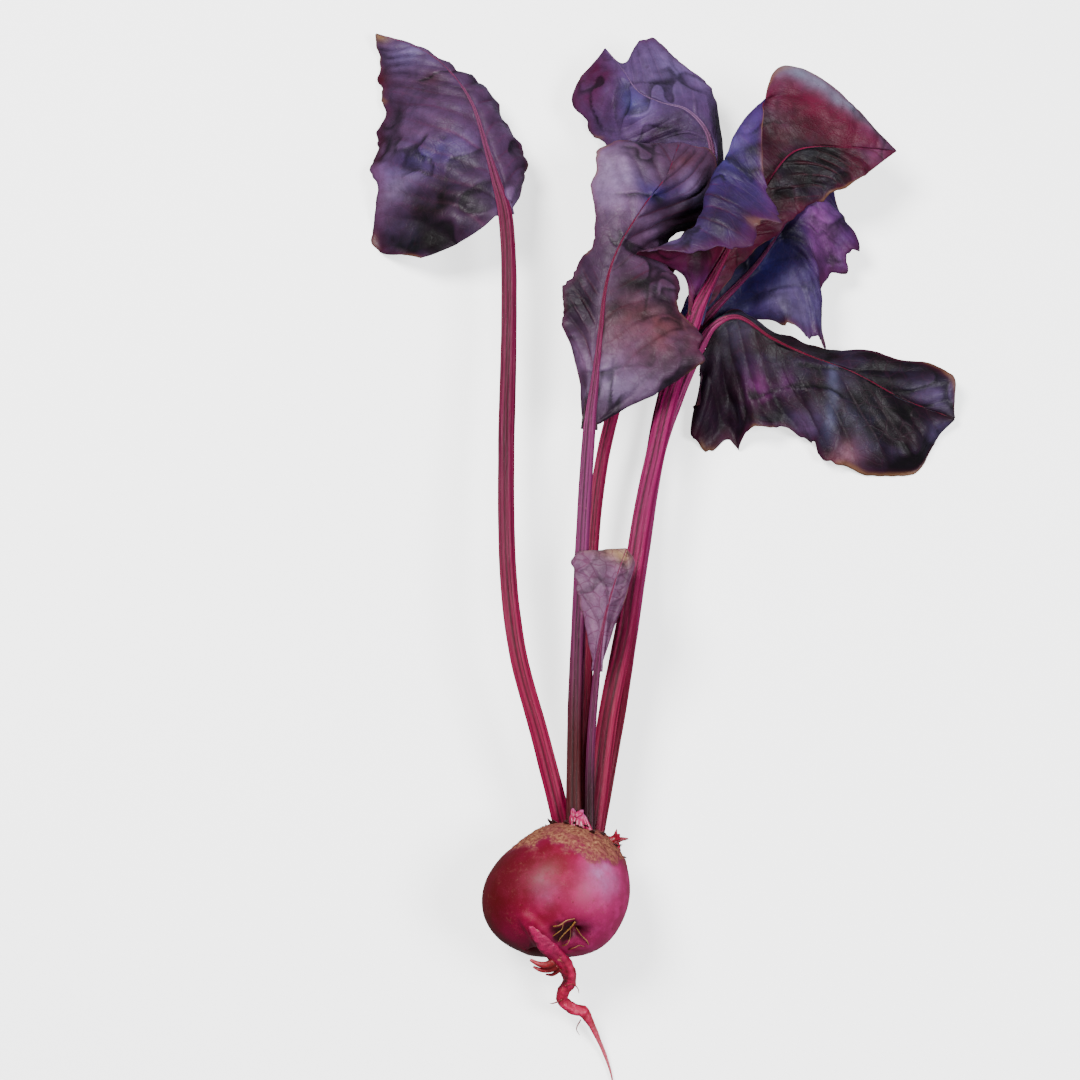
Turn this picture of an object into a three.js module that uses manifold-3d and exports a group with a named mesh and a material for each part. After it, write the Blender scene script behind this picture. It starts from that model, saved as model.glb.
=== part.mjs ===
// A beetroot as it was pulled: a round root with its thin tail, and seven leaves on ribbed stalks.
// It lies on its side. Millimetres, +Z up: the root rests on a small flat spot at the origin,
// and the leaves lie along the surface towards +Y.
import * as THREE from "three";
import { mergeVertices } from "three/addons/utils/BufferGeometryUtils.js";
import Module from "manifold-3d";

const wasm = await Module();
wasm.setup();

// Driving dimensions of the root
const rootWidth = 71;
const rootAbove = 32; // from the widest ring up to the crown
const rootBelow = 33.8; // from the widest ring down to the tail
const restDepth = 1.2; // how much the flat rest spot takes off the round side
const axisAzimuth = 25; // degrees that the crown turns from +Y towards +X
const axisTilt = 12; // degrees that the crown hangs below level
const shoulderDrop = 7; // how far the left shoulder falls short of the right one
const shoulderFull = 2.8; // how much fuller the right shoulder is
const sideSwell = 2; // how much fuller the lower left side is
const sideTrim = 5; // how much slimmer the lower right side is
const crownRise = 2.2; // how far the corky disc under the stalks stands up
const crownReach = 0.36; // radians from the crown to that disc's edge, as seen from the root's centre
const pitDepth = 7;
const pitReach = 0.21; // radians, the pit's half-width as seen from there
const lumpHeights = [0.018, 0.012]; // of the root's width: two and three slow lumps round it
const tailLump = 0.12; // of the tail's radius

// Driving dimensions of the leaves
const bladeThickness = 0.7;
const youngThickness = 0.6;
const seamGap = 0.3; // clear space between pieces that touch on the real plant
const stalkSink = 7; // how far a stalk starts below the crown before it is trimmed to it
const stalkFlatness = 0.74; // a stalk's thickness over its width
const grooveShare = 0.9; // of the stalk's radius, in the grooves between its ribs
const stalkFlare = 0.1; // how much wider than elsewhere a stalk is at its very foot
const stalkEnd = 0.985; // where the midrib ends along the leaf's middle line
const ribTip = 0.7; // half-width of the midrib at the leaf's tip
const ribFade = 1.6; // 1 would thin the midrib evenly, more thins it sooner
const floorGap = 0.36; // the middle of a blade never comes lower than this
const floorSoftness = 0.5;
const toothDepth = 0.05; // of a blade's half-width
const toothCount = 9; // along each margin
const puckerLength = 15; // from one bulge between side veins to the next
const veinSlant = 0.9; // how far a side vein runs towards the tip for each step sideways
const fullWaveReach = 20; // a half-blade narrower than this has smaller waves and bulges
const sideShift = 1.7; // radians between the waves of the left and right margins
const stripMargin = 1; // how much wider than the midrib the flat strip under it is, on each side
const clearShare = 1.15; // a blade passes a stalk at this many half-widths of it
const clearMargin = 0.9; // and this much more

// Fineness of the facets
const rootSides = 36;
const rootRings = 24;
const tailSides = 8;
const tailRings = 34;
const stalkSides = 10;
const ringsPerSpan = 2; // between two neighbouring points of a leaf's middle line
const bladeStations = 26;
const youngStations = 14;
const halfColumns = 5; // from the midrib to one margin, the strip beside the midrib included
const beadsPerSpan = 30; // places along a stalk at which blades are kept clear of it

const red = { color: 0x8a1230, roughness: 0.42, metalness: 0 };
const crimson = { color: 0x8e1a3c, roughness: 0.38, metalness: 0 };
const purple = { color: 0x3a1f3f, roughness: 0.5, metalness: 0 };
const mauve = { color: 0x9a6f86, roughness: 0.6, metalness: 0 };
const pink = { color: 0xc23a70, roughness: 0.4, metalness: 0 };

// Leaves. A leaf's middle line runs from its foot on the crown through the points of its stalk and rib.
// The other four lines of its blade have a point for each point of the rib: half-way out and at
// the margin, left and right as seen from the crown.
// foot: place on the crown, across and over. stalkWidth: at the crown and where the blade starts.
// wave: height, number and phase of the ruffles on the margin. pucker: height of the bulges.
const leaves = [
  {
    name: "left",
    foot: [-7.5, 1.5],
    stalkWidth: [9.6, 8],
    stalk: [[-7.5, 74, 38], [-19, 117, 41], [-24, 162, 40], [-25, 219, 36], [-24, 279, 33], [-24, 322, 36]],
    rib: [[-26, 351, 37], [-31, 371, 36], [-36, 390, 34], [-43, 415, 31], [-52, 433, 26], [-65, 450, 19],
      [-81, 462, 12], [-98, 470, 7]],
    leftMiddle: [[-48, 339, 31], [-62, 355, 31], [-65, 384, 29], [-69, 409, 26], [-72, 431, 21],
      [-79, 447, 15], [-88, 458, 10], [-98, 470, 7]],
    leftMargin: [[-71, 334, 19], [-98, 349, -3], [-95, 374, 9], [-97, 406, 1], [-94, 431, 5],
      [-97, 447, 2], [-97, 459, 4], [-98, 470, 7]],
    rightMiddle: [[-24, 354, 36], [-22, 369, 35], [-27, 389, 33], [-34, 413, 29], [-43, 432, 23],
      [-59, 449, 16], [-76, 460, 10], [-98, 470, 7]],
    rightMargin: [[-21, 360, 31], [-15, 379, 22], [-17, 390, 21], [-25, 410, 18], [-35, 430, 14],
      [-54, 447, 8], [-73, 457, 6], [-98, 470, 7]],
    wave: [1.2, 3.3, 0.4],
    pucker: 1.6,
  },
  {
    name: "front",
    foot: [-3.5, 10.5],
    stalkWidth: [8.2, 6.5],
    stalk: [[9.5, 83, 42], [11.5, 133, 45], [14, 184, 48]],
    rib: [[17, 229, 51], [20, 254, 54], [23, 280, 57], [26, 304, 60], [33, 324, 63], [46, 346, 63],
      [57, 363, 59], [65, 386, 51]],
    leftMiddle: [[15, 231, 51], [15, 257, 53], [15, 283, 54], [19, 305, 58], [27, 328, 61],
      [34, 358, 60], [44, 375, 56], [65, 386, 51]],
    leftMargin: [[14, 232, 50], [11, 259, 50], [4, 292, 48], [9, 315, 52], [21, 331, 57],
      [19, 363, 54], [30, 384, 50], [65, 386, 51]],
    rightMiddle: [[19, 231, 51], [43, 250, 54], [48, 278, 57], [44, 302, 57], [47, 330, 52],
      [66, 350, 48], [71, 372, 51], [65, 386, 51]],
    rightMargin: [[22, 232, 50], [64, 256, 47], [75, 276, 49], [63, 302, 49], [59, 332, 38],
      [80, 350, 38], [83, 382, 44], [65, 386, 51]],
    wave: [2, 3.6, 1.2],
    pucker: 1.2,
  },
  {
    name: "top",
    foot: [-1.5, -6],
    stalkWidth: [7.6, 6.5],
    stalk: [[14, 85, 28], [16, 137, 26], [21, 200, 25], [29, 243, 24], [44, 292, 23], [63, 332, 24]],
    rib: [[77, 355, 27], [83, 379, 30], [81, 398, 34], [70, 410, 38], [56, 413, 41], [44, 420, 40],
      [36, 435, 35], [27, 452, 26]],
    leftMiddle: [[74, 357, 27], [71, 381, 30], [66, 392, 33], [56, 396, 36], [45, 400, 38],
      [35, 410, 36], [27, 431, 30], [27, 452, 26]],
    leftMargin: [[71, 359, 26], [60, 380, 26], [50, 383, 28], [40, 386, 29], [29, 391, 28],
      [18, 408, 20], [11, 433, 16], [27, 452, 26]],
    rightMiddle: [[80, 357, 27], [86, 381, 29], [85, 401, 32], [77, 419, 34], [61, 430, 36],
      [47, 437, 36], [36, 438, 33], [27, 452, 26]],
    rightMargin: [[82, 359, 26], [90, 384, 24], [88, 407, 24], [80, 431, 24], [64, 447, 26],
      [49, 456, 28], [37, 441, 31], [27, 452, 26]],
    wave: [1.5, 2.8, 0],
    pucker: 0.9,
  },
  {
    name: "upper_right",
    foot: [6, 4.5],
    stalkWidth: [10.5, 9],
    stalk: [[25.5, 83, 38], [35.5, 134, 38], [43.5, 186, 37], [52.5, 228, 36], [61, 261, 35]],
    rib: [[71, 292, 36], [78, 308, 38], [87, 325, 40], [97, 343, 43], [108, 361, 46], [125, 382, 48],
      [152, 386, 44], [181, 389, 33]],
    leftMiddle: [[70, 293, 37], [72, 310, 42], [69, 328, 56], [76, 342, 61], [83, 367, 61],
      [102, 399, 60], [137, 405, 54], [181, 389, 33]],
    leftMargin: [[69, 293, 38], [66, 313, 44], [43, 321, 66], [88, 317, 70], [111, 338, 68],
      [106, 369, 66], [120, 426, 58], [181, 389, 33]],
    rightMiddle: [[73, 293, 36], [81, 308, 37], [91, 324, 39], [104, 340, 41], [118, 356, 42],
      [139, 374, 42], [158, 381, 40], [181, 389, 33]],
    rightMargin: [[75, 294, 35], [85, 308, 35], [96, 323, 36], [112, 337, 36], [128, 353, 36],
      [147, 364, 35], [161, 373, 36], [181, 389, 33]],
    wave: [2, 3.1, 2.2],
    pucker: 0.9,
  },
  {
    name: "right",
    foot: [8.2, -4],
    stalkWidth: [8, 6.5],
    stalk: [[30, 83, 24], [37, 130, 19], [43, 182, 17], [50, 225, 14], [56, 256, 12]],
    rib: [[64, 281, 13], [84, 306, 17], [104, 326, 24], [115, 340, 29], [124, 353, 32], [133, 364, 32],
      [140, 374, 28], [146, 377, 24]],
    leftMiddle: [[61, 283, 13], [78, 316, 17], [94, 339, 23], [105, 351, 27], [116, 362, 30],
      [127, 371, 30], [136, 377, 27], [146, 377, 24]],
    leftMargin: [[58, 285, 12], [73, 321, 15], [86, 348, 20], [98, 362, 23], [110, 372, 26],
      [122, 380, 26], [133, 384, 25], [146, 377, 24]],
    rightMiddle: [[68, 281, 12], [96, 303, 16], [116, 314, 26], [130, 324, 31], [134, 339, 33],
      [140, 354, 32], [144, 367, 28], [146, 377, 24]],
    rightMargin: [[71, 281, 11], [105, 301, 14], [125, 291, 31], [139, 288, 27], [138, 313, 21],
      [159, 335, 16], [153, 359, 20], [146, 377, 24]],
    wave: [2, 3.7, 0.8],
    pucker: 1.2,
  },
  {
    name: "low",
    foot: [7, -12],
    stalkWidth: [7, 6],
    stalk: [[30, 80, 13], [38, 128, 8], [46, 180, 5], [54, 228, 5], [64, 258, 10]],
    rib: [[76, 284, 22], [84, 294, 27], [96, 297, 29], [113, 287, 25], [134, 279, 19], [157, 271, 16],
      [182, 258, 12], [210, 249, 6]],
    leftMiddle: [[76, 286, 21], [85, 297, 24], [98, 300, 26], [115, 289, 23], [137, 283, 16],
      [164, 277, 15], [188, 265, 14], [210, 249, 6]],
    leftMargin: [[76, 288, 20], [86, 300, 22], [99, 303, 23], [117, 291, 20], [141, 288, 12],
      [171, 282, 13], [204, 276, 11], [210, 249, 6]],
    rightMiddle: [[76, 277, 20], [82, 272, 18], [91, 269, 15], [110, 262, 17], [131, 256, 18],
      [156, 246, 12], [183, 237, 12], [210, 249, 6]],
    rightMargin: [[77, 269, 17], [72, 239, 5], [91, 236, -2], [109, 242, 14], [134, 238, 4],
      [147, 223, 8], [185, 222, -3], [210, 249, 6]],
    wave: [2.5, 4.3, 1.9],
    pucker: 1.1,
  },
  {
    name: "young",
    foot: [4, 13.2],
    stalkWidth: [5, 3.6],
    stalk: [[17, 68, 49]],
    rib: [[20, 104, 54], [22, 119, 57], [24.5, 132, 59], [28, 144, 61], [31.5, 155, 61], [35, 165, 59]],
    leftMiddle: [[19.5, 106, 54], [18.5, 122, 58], [18.5, 136, 60], [19.5, 149, 61], [22, 160, 60],
      [35, 165, 59]],
    leftMargin: [[18.5, 107, 53], [15, 123, 56], [11.5, 139, 57], [8.5, 153, 57], [11, 164, 55],
      [35, 165, 59]],
    rightMiddle: [[21.5, 105, 53], [26, 120, 56], [30, 132, 58], [33.5, 144, 60], [36, 155, 59],
      [35, 165, 58]],
    rightMargin: [[22.5, 107, 53], [27, 121, 60], [31, 133, 64], [35.5, 145, 65], [38.5, 157, 63],
      [35, 165, 59]],
    wave: [0.8, 3, 0.3],
    pucker: 0.5,
    young: true,
  },
];

const degrees = Math.PI / 180;
const up = new THREE.Vector3(0, 0, 1);

// The root's own frame: along its axis to the crown, across it to the right, and over it.
const rootAxis = new THREE.Vector3(
  Math.sin(axisAzimuth * degrees) * Math.cos(axisTilt * degrees),
  Math.cos(axisAzimuth * degrees) * Math.cos(axisTilt * degrees),
  -Math.sin(axisTilt * degrees),
);
const rootAcross = rootAxis.clone().cross(up).normalize();
const rootOver = rootAcross.clone().cross(rootAxis).normalize();
const rootCentre = new THREE.Vector3(0, 0, rootWidth / 2 - restDepth);

// A height that follows z but eases off to the floor instead of going through it.
function settle(z) {
  const above = z - floorGap;
  return floorGap + (above + Math.sqrt(above * above + 4 * floorSoftness * floorSoftness)) / 2;
}

// A value read from numbers at even stations, with t from 0 to 1.
function between(keys, t) {
  const place = Math.min(Math.max(t, 0), 1) * (keys.length - 1);
  const k = Math.min(Math.floor(place), keys.length - 2);
  return keys[k] + (keys[k + 1] - keys[k]) * (place - k);
}

// A smooth line through the given points.
function lineThrough(points) {
  return new THREE.CatmullRomCurve3(points.map((p) => new THREE.Vector3(...p)), false, "catmullrom", 0.5);
}

// A closed solid from a geometry whose seams still have double vertices.
function solidOf(geometry) {
  const bare = new THREE.BufferGeometry();
  bare.setAttribute("position", geometry.getAttribute("position"));
  bare.setIndex(geometry.index);
  const merged = mergeVertices(bare, 1e-4);
  const mesh = new wasm.Mesh({
    numProp: 3,
    vertProperties: new Float32Array(merged.getAttribute("position").array),
    triVerts: new Uint32Array(merged.index.array),
  });
  return new wasm.Manifold(mesh);
}

function meshOf(name, solid, finish) {
  const cut = solid.getMesh();
  const geometry = new THREE.BufferGeometry();
  geometry.setAttribute("position", new THREE.BufferAttribute(new Float32Array(cut.vertProperties), 3));
  geometry.setIndex(new THREE.BufferAttribute(new Uint32Array(cut.triVerts), 1));
  geometry.computeVertexNormals();
  const mesh = new THREE.Mesh(geometry, new THREE.MeshStandardMaterial(finish));
  mesh.name = name;
  return mesh;
}

// Rings of points joined into a closed tube with flat ends.
function tubeSolid(rings) {
  const sides = rings[0].length;
  const points = [];
  const triangles = [];
  rings.forEach((ring) => ring.forEach((p) => points.push(p.x, p.y, p.z)));
  for (let i = 0; i + 1 < rings.length; i++)
    for (let j = 0; j < sides; j++) {
      const a = i * sides + j;
      const b = i * sides + ((j + 1) % sides);
      triangles.push(a, a + sides, b, b, a + sides, b + sides);
    }
  [0, rings.length - 1].forEach((i) => {
    const middle = new THREE.Vector3();
    rings[i].forEach((p) => middle.addScaledVector(p, 1 / sides));
    const centre = points.push(middle.x, middle.y, middle.z) / 3 - 1;
    for (let j = 0; j < sides; j++) {
      const a = i * sides + j;
      const b = i * sides + ((j + 1) % sides);
      triangles.push(centre, ...(i ? [b, a] : [a, b]));
    }
  });
  const geometry = new THREE.BufferGeometry();
  geometry.setAttribute("position", new THREE.Float32BufferAttribute(points, 3));
  geometry.setIndex(triangles);
  return solidOf(geometry);
}

// The normals of a grid of points, from its rows and columns.
function normalsOf(grid) {
  const rows = grid.length;
  const columns = grid[0].length;
  const at = (i, j) => grid[Math.min(Math.max(i, 0), rows - 1)][Math.min(Math.max(j, 0), columns - 1)];
  return grid.map((row, i) =>
    row.map((_, j) => {
      const along = at(i + 1, j).clone().sub(at(i - 1, j));
      const across = at(i, j + 1).clone().sub(at(i, j - 1));
      return across.cross(along).normalize();
    }),
  );
}

// A sheet of even thickness round a grid of points, split into triangles alike on both faces.
function sheetSolid(grid, thickness) {
  const rows = grid.length;
  const columns = grid[0].length;
  const normals = normalsOf(grid);
  const points = [];
  const triangles = [];
  [0.5, -0.5].forEach((face) =>
    grid.forEach((row, i) =>
      row.forEach((point, j) => {
        const p = point.clone().addScaledVector(normals[i][j], face * thickness);
        points.push(p.x, p.y, p.z);
      }),
    ),
  );
  const below = rows * columns;
  const quad = (a, b, c, d) => triangles.push(a, b, c, a, c, d);
  for (let i = 0; i + 1 < rows; i++)
    for (let j = 0; j + 1 < columns; j++) {
      const a = i * columns + j;
      const [b, c, d] = [a + 1, a + columns + 1, a + columns];
      quad(a, b, c, d);
      triangles.push(a + below, c + below, b + below, a + below, d + below, c + below);
    }
  for (let j = 0; j + 1 < columns; j++) {
    const far = (rows - 1) * columns + j;
    quad(j + 1, j, j + below, j + 1 + below);
    quad(far, far + 1, far + 1 + below, far + below);
  }
  for (let i = 0; i + 1 < rows; i++) {
    const a = i * columns;
    const b = a + columns - 1;
    quad(a, a + columns, a + columns + below, a + below);
    quad(b + columns, b, b + below, b + columns + below);
  }
  const geometry = new THREE.BufferGeometry();
  geometry.setAttribute("position", new THREE.Float32BufferAttribute(points, 3));
  geometry.setIndex(triangles);
  return solidOf(geometry);
}

// Root: a squat egg shape with a low left and a full right shoulder, a lower side fuller on the left
// than on the right, a raised disc at the crown, slow lumps and a pit beside the tail. The direction d
// is measured by its polar angle from the crown and its turn round the axis.
const pitDirection = new THREE.Vector3(0.27, -0.75, 0.6).normalize();

// A smooth hill of height 1 round the given middle.
function hill(value, middle, width) {
  return Math.exp(-Math.pow((value - middle) / width, 2));
}

function rootPoint(d, swell) {
  const along = d.dot(rootAxis);
  const polar = Math.acos(Math.min(Math.max(along, -1), 1));
  const turn = Math.atan2(d.dot(rootOver), d.dot(rootAcross));
  const ring = Math.pow(Math.sin(polar), 0.9) * (rootWidth / 2);
  const height = Math.sign(along) * Math.pow(Math.abs(along), 0.95) * (along > 0 ? rootAbove : rootBelow);
  const lumps = 1 + lumpHeights[0] * Math.sin(2 * turn + 0.8) + lumpHeights[1] * Math.sin(3 * turn - 1.1);
  const leftward = Math.pow(Math.max(0, -Math.cos(turn)), 1.5);
  const rightward = Math.pow(Math.max(0, Math.cos(turn)), 1.5);
  const onLeft = sideSwell * hill(polar, 2.6, 0.5) - shoulderDrop * hill(polar, 1.16, 0.7);
  const onRight = shoulderFull * hill(polar, 0.4, 0.45) - sideTrim * hill(polar, 2.8, 0.5);
  const rise = crownRise * Math.exp(-Math.pow(polar / crownReach, 4));
  const pit = pitDepth * hill(d.angleTo(pitDirection), 0, pitReach);
  return rootCentre
    .clone()
    .addScaledVector(rootAxis, height + rise)
    .addScaledVector(rootAcross, ring * lumps * Math.cos(turn))
    .addScaledVector(rootOver, ring * lumps * Math.sin(turn))
    .addScaledVector(d, swell - pit + leftward * onLeft + rightward * onRight);
}

function rootBall(swell) {
  const ball = new THREE.SphereGeometry(1, rootSides, rootRings);
  const position = ball.getAttribute("position");
  for (let i = 0; i < position.count; i++) {
    // The sphere's pole goes to the crown, so that its rings run round the root.
    const p = new THREE.Vector3().fromBufferAttribute(position, i);
    const d = new THREE.Vector3()
      .addScaledVector(rootAxis, p.y)
      .addScaledVector(rootAcross, p.x)
      .addScaledVector(rootOver, p.z)
      .normalize();
    const q = rootPoint(d, swell);
    position.setXYZ(i, q.x, q.y, q.z);
  }
  return solidOf(ball);
}

// Tail: it leaves the lower left of the root as a ridge, kinks twice and thins out along the surface.
const tailPoints = [[-13, -17, 56], [-9, -22, 53], [-4, -28.5, 45], [1.5, -33.5, 38], [5.5, -38, 32],
  [6.5, -43, 28], [3.5, -48, 24], [3, -52, 20], [7.5, -55.5, 16.5], [13.5, -57.5, 13],
  [17.5, -63, 9], [21, -70, 5.2], [24.5, -78, 2.8], [27, -86, 1.9], [29, -97, 1.4]];
const tailRadii = [3, 4.2, 4.6, 4.2, 3.5, 3.2, 3.1, 3, 2.9, 2.7, 1.8, 1.3, 1, 0.9, 0.8];

function tailSolid() {
  const line = lineThrough(tailPoints);
  const rings = [];
  for (let i = 0; i <= tailRings; i++) {
    const t = i / tailRings;
    const centre = line.getPoint(t);
    const forward = line.getTangent(t);
    const side = forward.clone().cross(up).normalize();
    const over = side.clone().cross(forward);
    const radius = between(tailRadii, t);
    rings.push(
      Array.from({ length: tailSides }, (_, j) => {
        const a = (j / tailSides) * 2 * Math.PI;
        const r = radius * (1 + tailLump * Math.sin(3 * a + 9 * t));
        return centre.clone().addScaledVector(side, r * Math.cos(a)).addScaledVector(over, r * Math.sin(a));
      }),
    );
  }
  return tubeSolid(rings);
}

// Everything below the floor round the root, which cuts the flat rest spot.
const slabWidth = 400;
const slabDepth = 40;

function underFloor() {
  const slab = new THREE.BoxGeometry(slabWidth, slabWidth, slabDepth);
  slab.translate(0, 0, -slabDepth / 2);
  return solidOf(slab);
}

// Stalks and midribs. The crown point is measured from the top of the crown, in the root's own frame.
function crownPoint(across, over, rise) {
  return rootCentre
    .clone()
    .addScaledVector(rootAxis, rootAbove + crownRise + rise)
    .addScaledVector(rootAcross, across)
    .addScaledVector(rootOver, over);
}

function middleLine(leaf) {
  const foot = crownPoint(...leaf.foot, -stalkSink);
  return lineThrough([foot.toArray(), ...leaf.stalk, ...leaf.rib]);
}

// The share of the middle line at which the blade starts.
function bladeStart(leaf) {
  return (leaf.stalk.length + 1) / (leaf.stalk.length + leaf.rib.length);
}

// Where a leaf's middle is, and which way is forward, to the side and up there.
function frameAt(line, share) {
  const centre = line.getPoint(share);
  const forward = line.getTangent(share);
  const side = forward.clone().cross(up).normalize();
  const over = side.clone().cross(forward);
  return { centre, forward, side, over };
}

// Half the stalk's width: it flares a little at the crown, and thins to a fine rib at the tip.
function stalkHalf(leaf, share) {
  const [low, high] = leaf.stalkWidth;
  const start = bladeStart(leaf);
  if (share < start) {
    const flare = 1 + stalkFlare * Math.exp(-share / 0.03);
    return (flare * (low + (high - low) * (share / start))) / 2;
  }
  const t = (share - start) / (1 - start);
  return ribTip + (high / 2 - ribTip) * Math.pow(1 - t, ribFade);
}

function stalkSolid(leaf, line) {
  const rings = [];
  const count = ringsPerSpan * (leaf.stalk.length + leaf.rib.length);
  for (let i = 0; i <= count; i++) {
    const share = (i / count) * stalkEnd;
    const f = frameAt(line, share);
    const half = stalkHalf(leaf, share);
    rings.push(
      Array.from({ length: stalkSides }, (_, j) => {
        const a = (j / stalkSides) * 2 * Math.PI;
        const rib = j % 2 ? grooveShare : 1;
        return f.centre
          .clone()
          .addScaledVector(f.side, half * rib * Math.cos(a))
          .addScaledVector(f.over, half * rib * stalkFlatness * Math.sin(a));
      }),
    );
  }
  return tubeSolid(rings);
}

// Blades. A blade hangs just under its midrib. Each half has a flat strip beside the midrib, and then
// a parabola through the middle line out to the margin, which swings in and out as teeth.
function bladeGrid(leaf, line) {
  const start = bladeStart(leaf);
  const stations = leaf.young ? youngStations : bladeStations;
  const thickness = leaf.young ? youngThickness : bladeThickness;
  const halves = [
    [lineThrough(leaf.leftMiddle), lineThrough(leaf.leftMargin)],
    [lineThrough(leaf.rightMiddle), lineThrough(leaf.rightMargin)],
  ];
  const grid = [];
  for (let i = 0; i <= stations; i++) {
    const t = i / stations;
    const share = start + (1 - start) * t;
    const f = frameAt(line, share);
    const clear = stalkHalf(leaf, share) * stalkFlatness + seamGap + thickness / 2;
    const under = f.centre.clone().addScaledVector(f.over, -clear);
    const row = [];
    for (let j = -halfColumns; j <= halfColumns; j++) {
      if (j === 0) {
        row.push(under);
        continue;
      }
      const side = j < 0 ? 0 : 1;
      const [middleCurve, marginCurve] = halves[side];
      const tooth = Math.sin(2 * Math.PI * toothCount * t + sideShift * side) * Math.sin(Math.PI * t);
      const q = ((Math.abs(j) - 1) / (halfColumns - 1)) * (1 + toothDepth * tooth);
      const strip = stalkHalf(leaf, share) + stripMargin * (1 - t);
      const beside = under.clone().addScaledVector(f.side, Math.sign(j) * strip);
      row.push(
        new THREE.Vector3()
          .addScaledVector(beside, 2 * (q - 0.5) * (q - 1))
          .addScaledVector(middleCurve.getPoint(t), 4 * q * (1 - q))
          .addScaledVector(marginCurve.getPoint(t), 2 * q * (q - 0.5)),
      );
    }
    grid.push(row);
  }
  return grid;
}

// The blade's own waves, along its normals: ruffles that grow towards the margin, and bulges
// between the side veins.
function ruffle(leaf, grid) {
  const [height, waves, phase] = leaf.wave;
  const spans = leaf.rib.slice(1).map((p, i) => Math.hypot(...p.map((c, k) => c - leaf.rib[i][k])));
  const length = spans.reduce((sum, span) => sum + span, 0);
  const normals = normalsOf(grid);
  return grid.map((row, i) =>
    row.map((point, k) => {
      const t = i / (grid.length - 1);
      const side = k < halfColumns ? 0 : 1;
      const edge = Math.abs(k - halfColumns) / halfColumns;
      const reach = row[side ? 2 * halfColumns : 0].distanceTo(row[halfColumns]);
      const body = Math.min(1, reach / fullWaveReach);
      const turn = 2 * Math.PI * waves * t + phase + sideShift * side;
      const wave = height * Math.pow(edge, 1.5) * Math.sin(turn);
      const vein = (t * length - veinSlant * edge * reach) / puckerLength;
      const bulge = leaf.pucker * 2 * (Math.abs(Math.sin(Math.PI * vein)) - 0.5) * Math.min(1, 2 * edge);
      return point.clone().addScaledVector(normals[i][k], body * (wave + bulge));
    }),
  );
}

// A blade stays clear of every stalk: a point that comes too near a stalk's middle line is pushed
// straight out from it. It also eases off to the floor.
function clearOfStalks(grid, stalkBeads) {
  return grid.map((row) =>
    row.map((point) => {
      const p = point.clone();
      stalkBeads.forEach(({ centre, half }) => {
        const distance = p.distanceTo(centre);
        const wanted = clearShare * half + clearMargin;
        if (distance < wanted) p.addScaledVector(p.clone().sub(centre), (wanted - distance) / distance);
      });
      p.z = settle(p.z);
      return p;
    }),
  );
}

function beadsOf(leaf, line) {
  const count = beadsPerSpan * (leaf.stalk.length + leaf.rib.length);
  return Array.from({ length: count }, (_, i) => {
    const share = (i / count) * stalkEnd;
    return { centre: line.getPoint(share), half: stalkHalf(leaf, share) };
  });
}

// Bud: folded first leaves that lie close together at the front of the crown. Each is an egg shape that
// thins towards its top and leans over, the last one far to the right at its foot.
const budHalfSizes = [3.4, 6.2, 2.4]; // width, height and thickness of the front scale
const budRise = -4.2; // the scales' middle, from the top of the crown
const budScales = [
  { across: -2.5, over: 18.2, size: 0.95, lean: -0.25 },
  { across: -5.8, over: 17.4, size: 0.8, lean: -0.35 },
  { across: 1.4, over: 18.6, size: 0.72, lean: -0.95 },
];

function budSolid() {
  const frame = new THREE.Matrix4().makeBasis(rootAcross, rootAxis, rootOver);
  const solids = budScales.map(({ across, over, size, lean }) => {
    const scale = new THREE.SphereGeometry(1, 8, 6);
    scale.scale(...budHalfSizes.map((half) => half * size));
    const position = scale.getAttribute("position");
    for (let i = 0; i < position.count; i++) {
      const y = position.getY(i);
      const thinning = Math.max(y, 0) / (3 * budHalfSizes[1]);
      position.setX(i, position.getX(i) * (1 - thinning) + y * lean);
      position.setZ(i, position.getZ(i) * (1 - thinning));
    }
    frame.setPosition(crownPoint(across, over, budRise));
    scale.applyMatrix4(frame);
    return solidOf(scale);
  });
  return solids.slice(1).reduce((sum, solid) => sum.add(solid), solids[0]);
}

// Stub: the torn foot of a leaf that is gone, with four pointed shreds round a longer one.
// shred: how much further out and forward than the ring's middle the points reach.
const stubFoot = [12, 10, -4.5]; // across, over and up from the top of the crown
const stubSides = 12;
const shredCount = 4;
const stubRings = [
  { along: 0, radius: 2.4, shred: 0 },
  { along: 2.8, radius: 2.2, shred: 0 },
  { along: 4.4, radius: 2.7, shred: 0.15 },
  { along: 5.2, radius: 3.9, shred: 0.45 },
  { along: 6.4, radius: 1.7, shred: 0 },
  { along: 11.6, radius: 0.35, shred: 0 },
];

function stubSolid() {
  const foot = crownPoint(...stubFoot);
  const forward = rootAxis.clone().multiplyScalar(0.5).addScaledVector(rootAcross, 0.8).normalize();
  const side = forward.clone().cross(rootOver).normalize();
  const over = side.clone().cross(forward);
  const rings = stubRings.map(({ along, radius, shred }) =>
    Array.from({ length: stubSides }, (_, j) => {
      const a = (j / stubSides) * 2 * Math.PI;
      const point = shred * Math.cos(shredCount * a);
      return foot
        .clone()
        .addScaledVector(forward, along + 3 * point)
        .addScaledVector(side, radius * (1 + point) * Math.cos(a))
        .addScaledVector(over, radius * (1 + point) * Math.sin(a));
    }),
  );
  return tubeSolid(rings);
}

const root = rootBall(0).add(tailSolid()).subtract(underFloor());
const trimmer = rootBall(seamGap);

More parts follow.
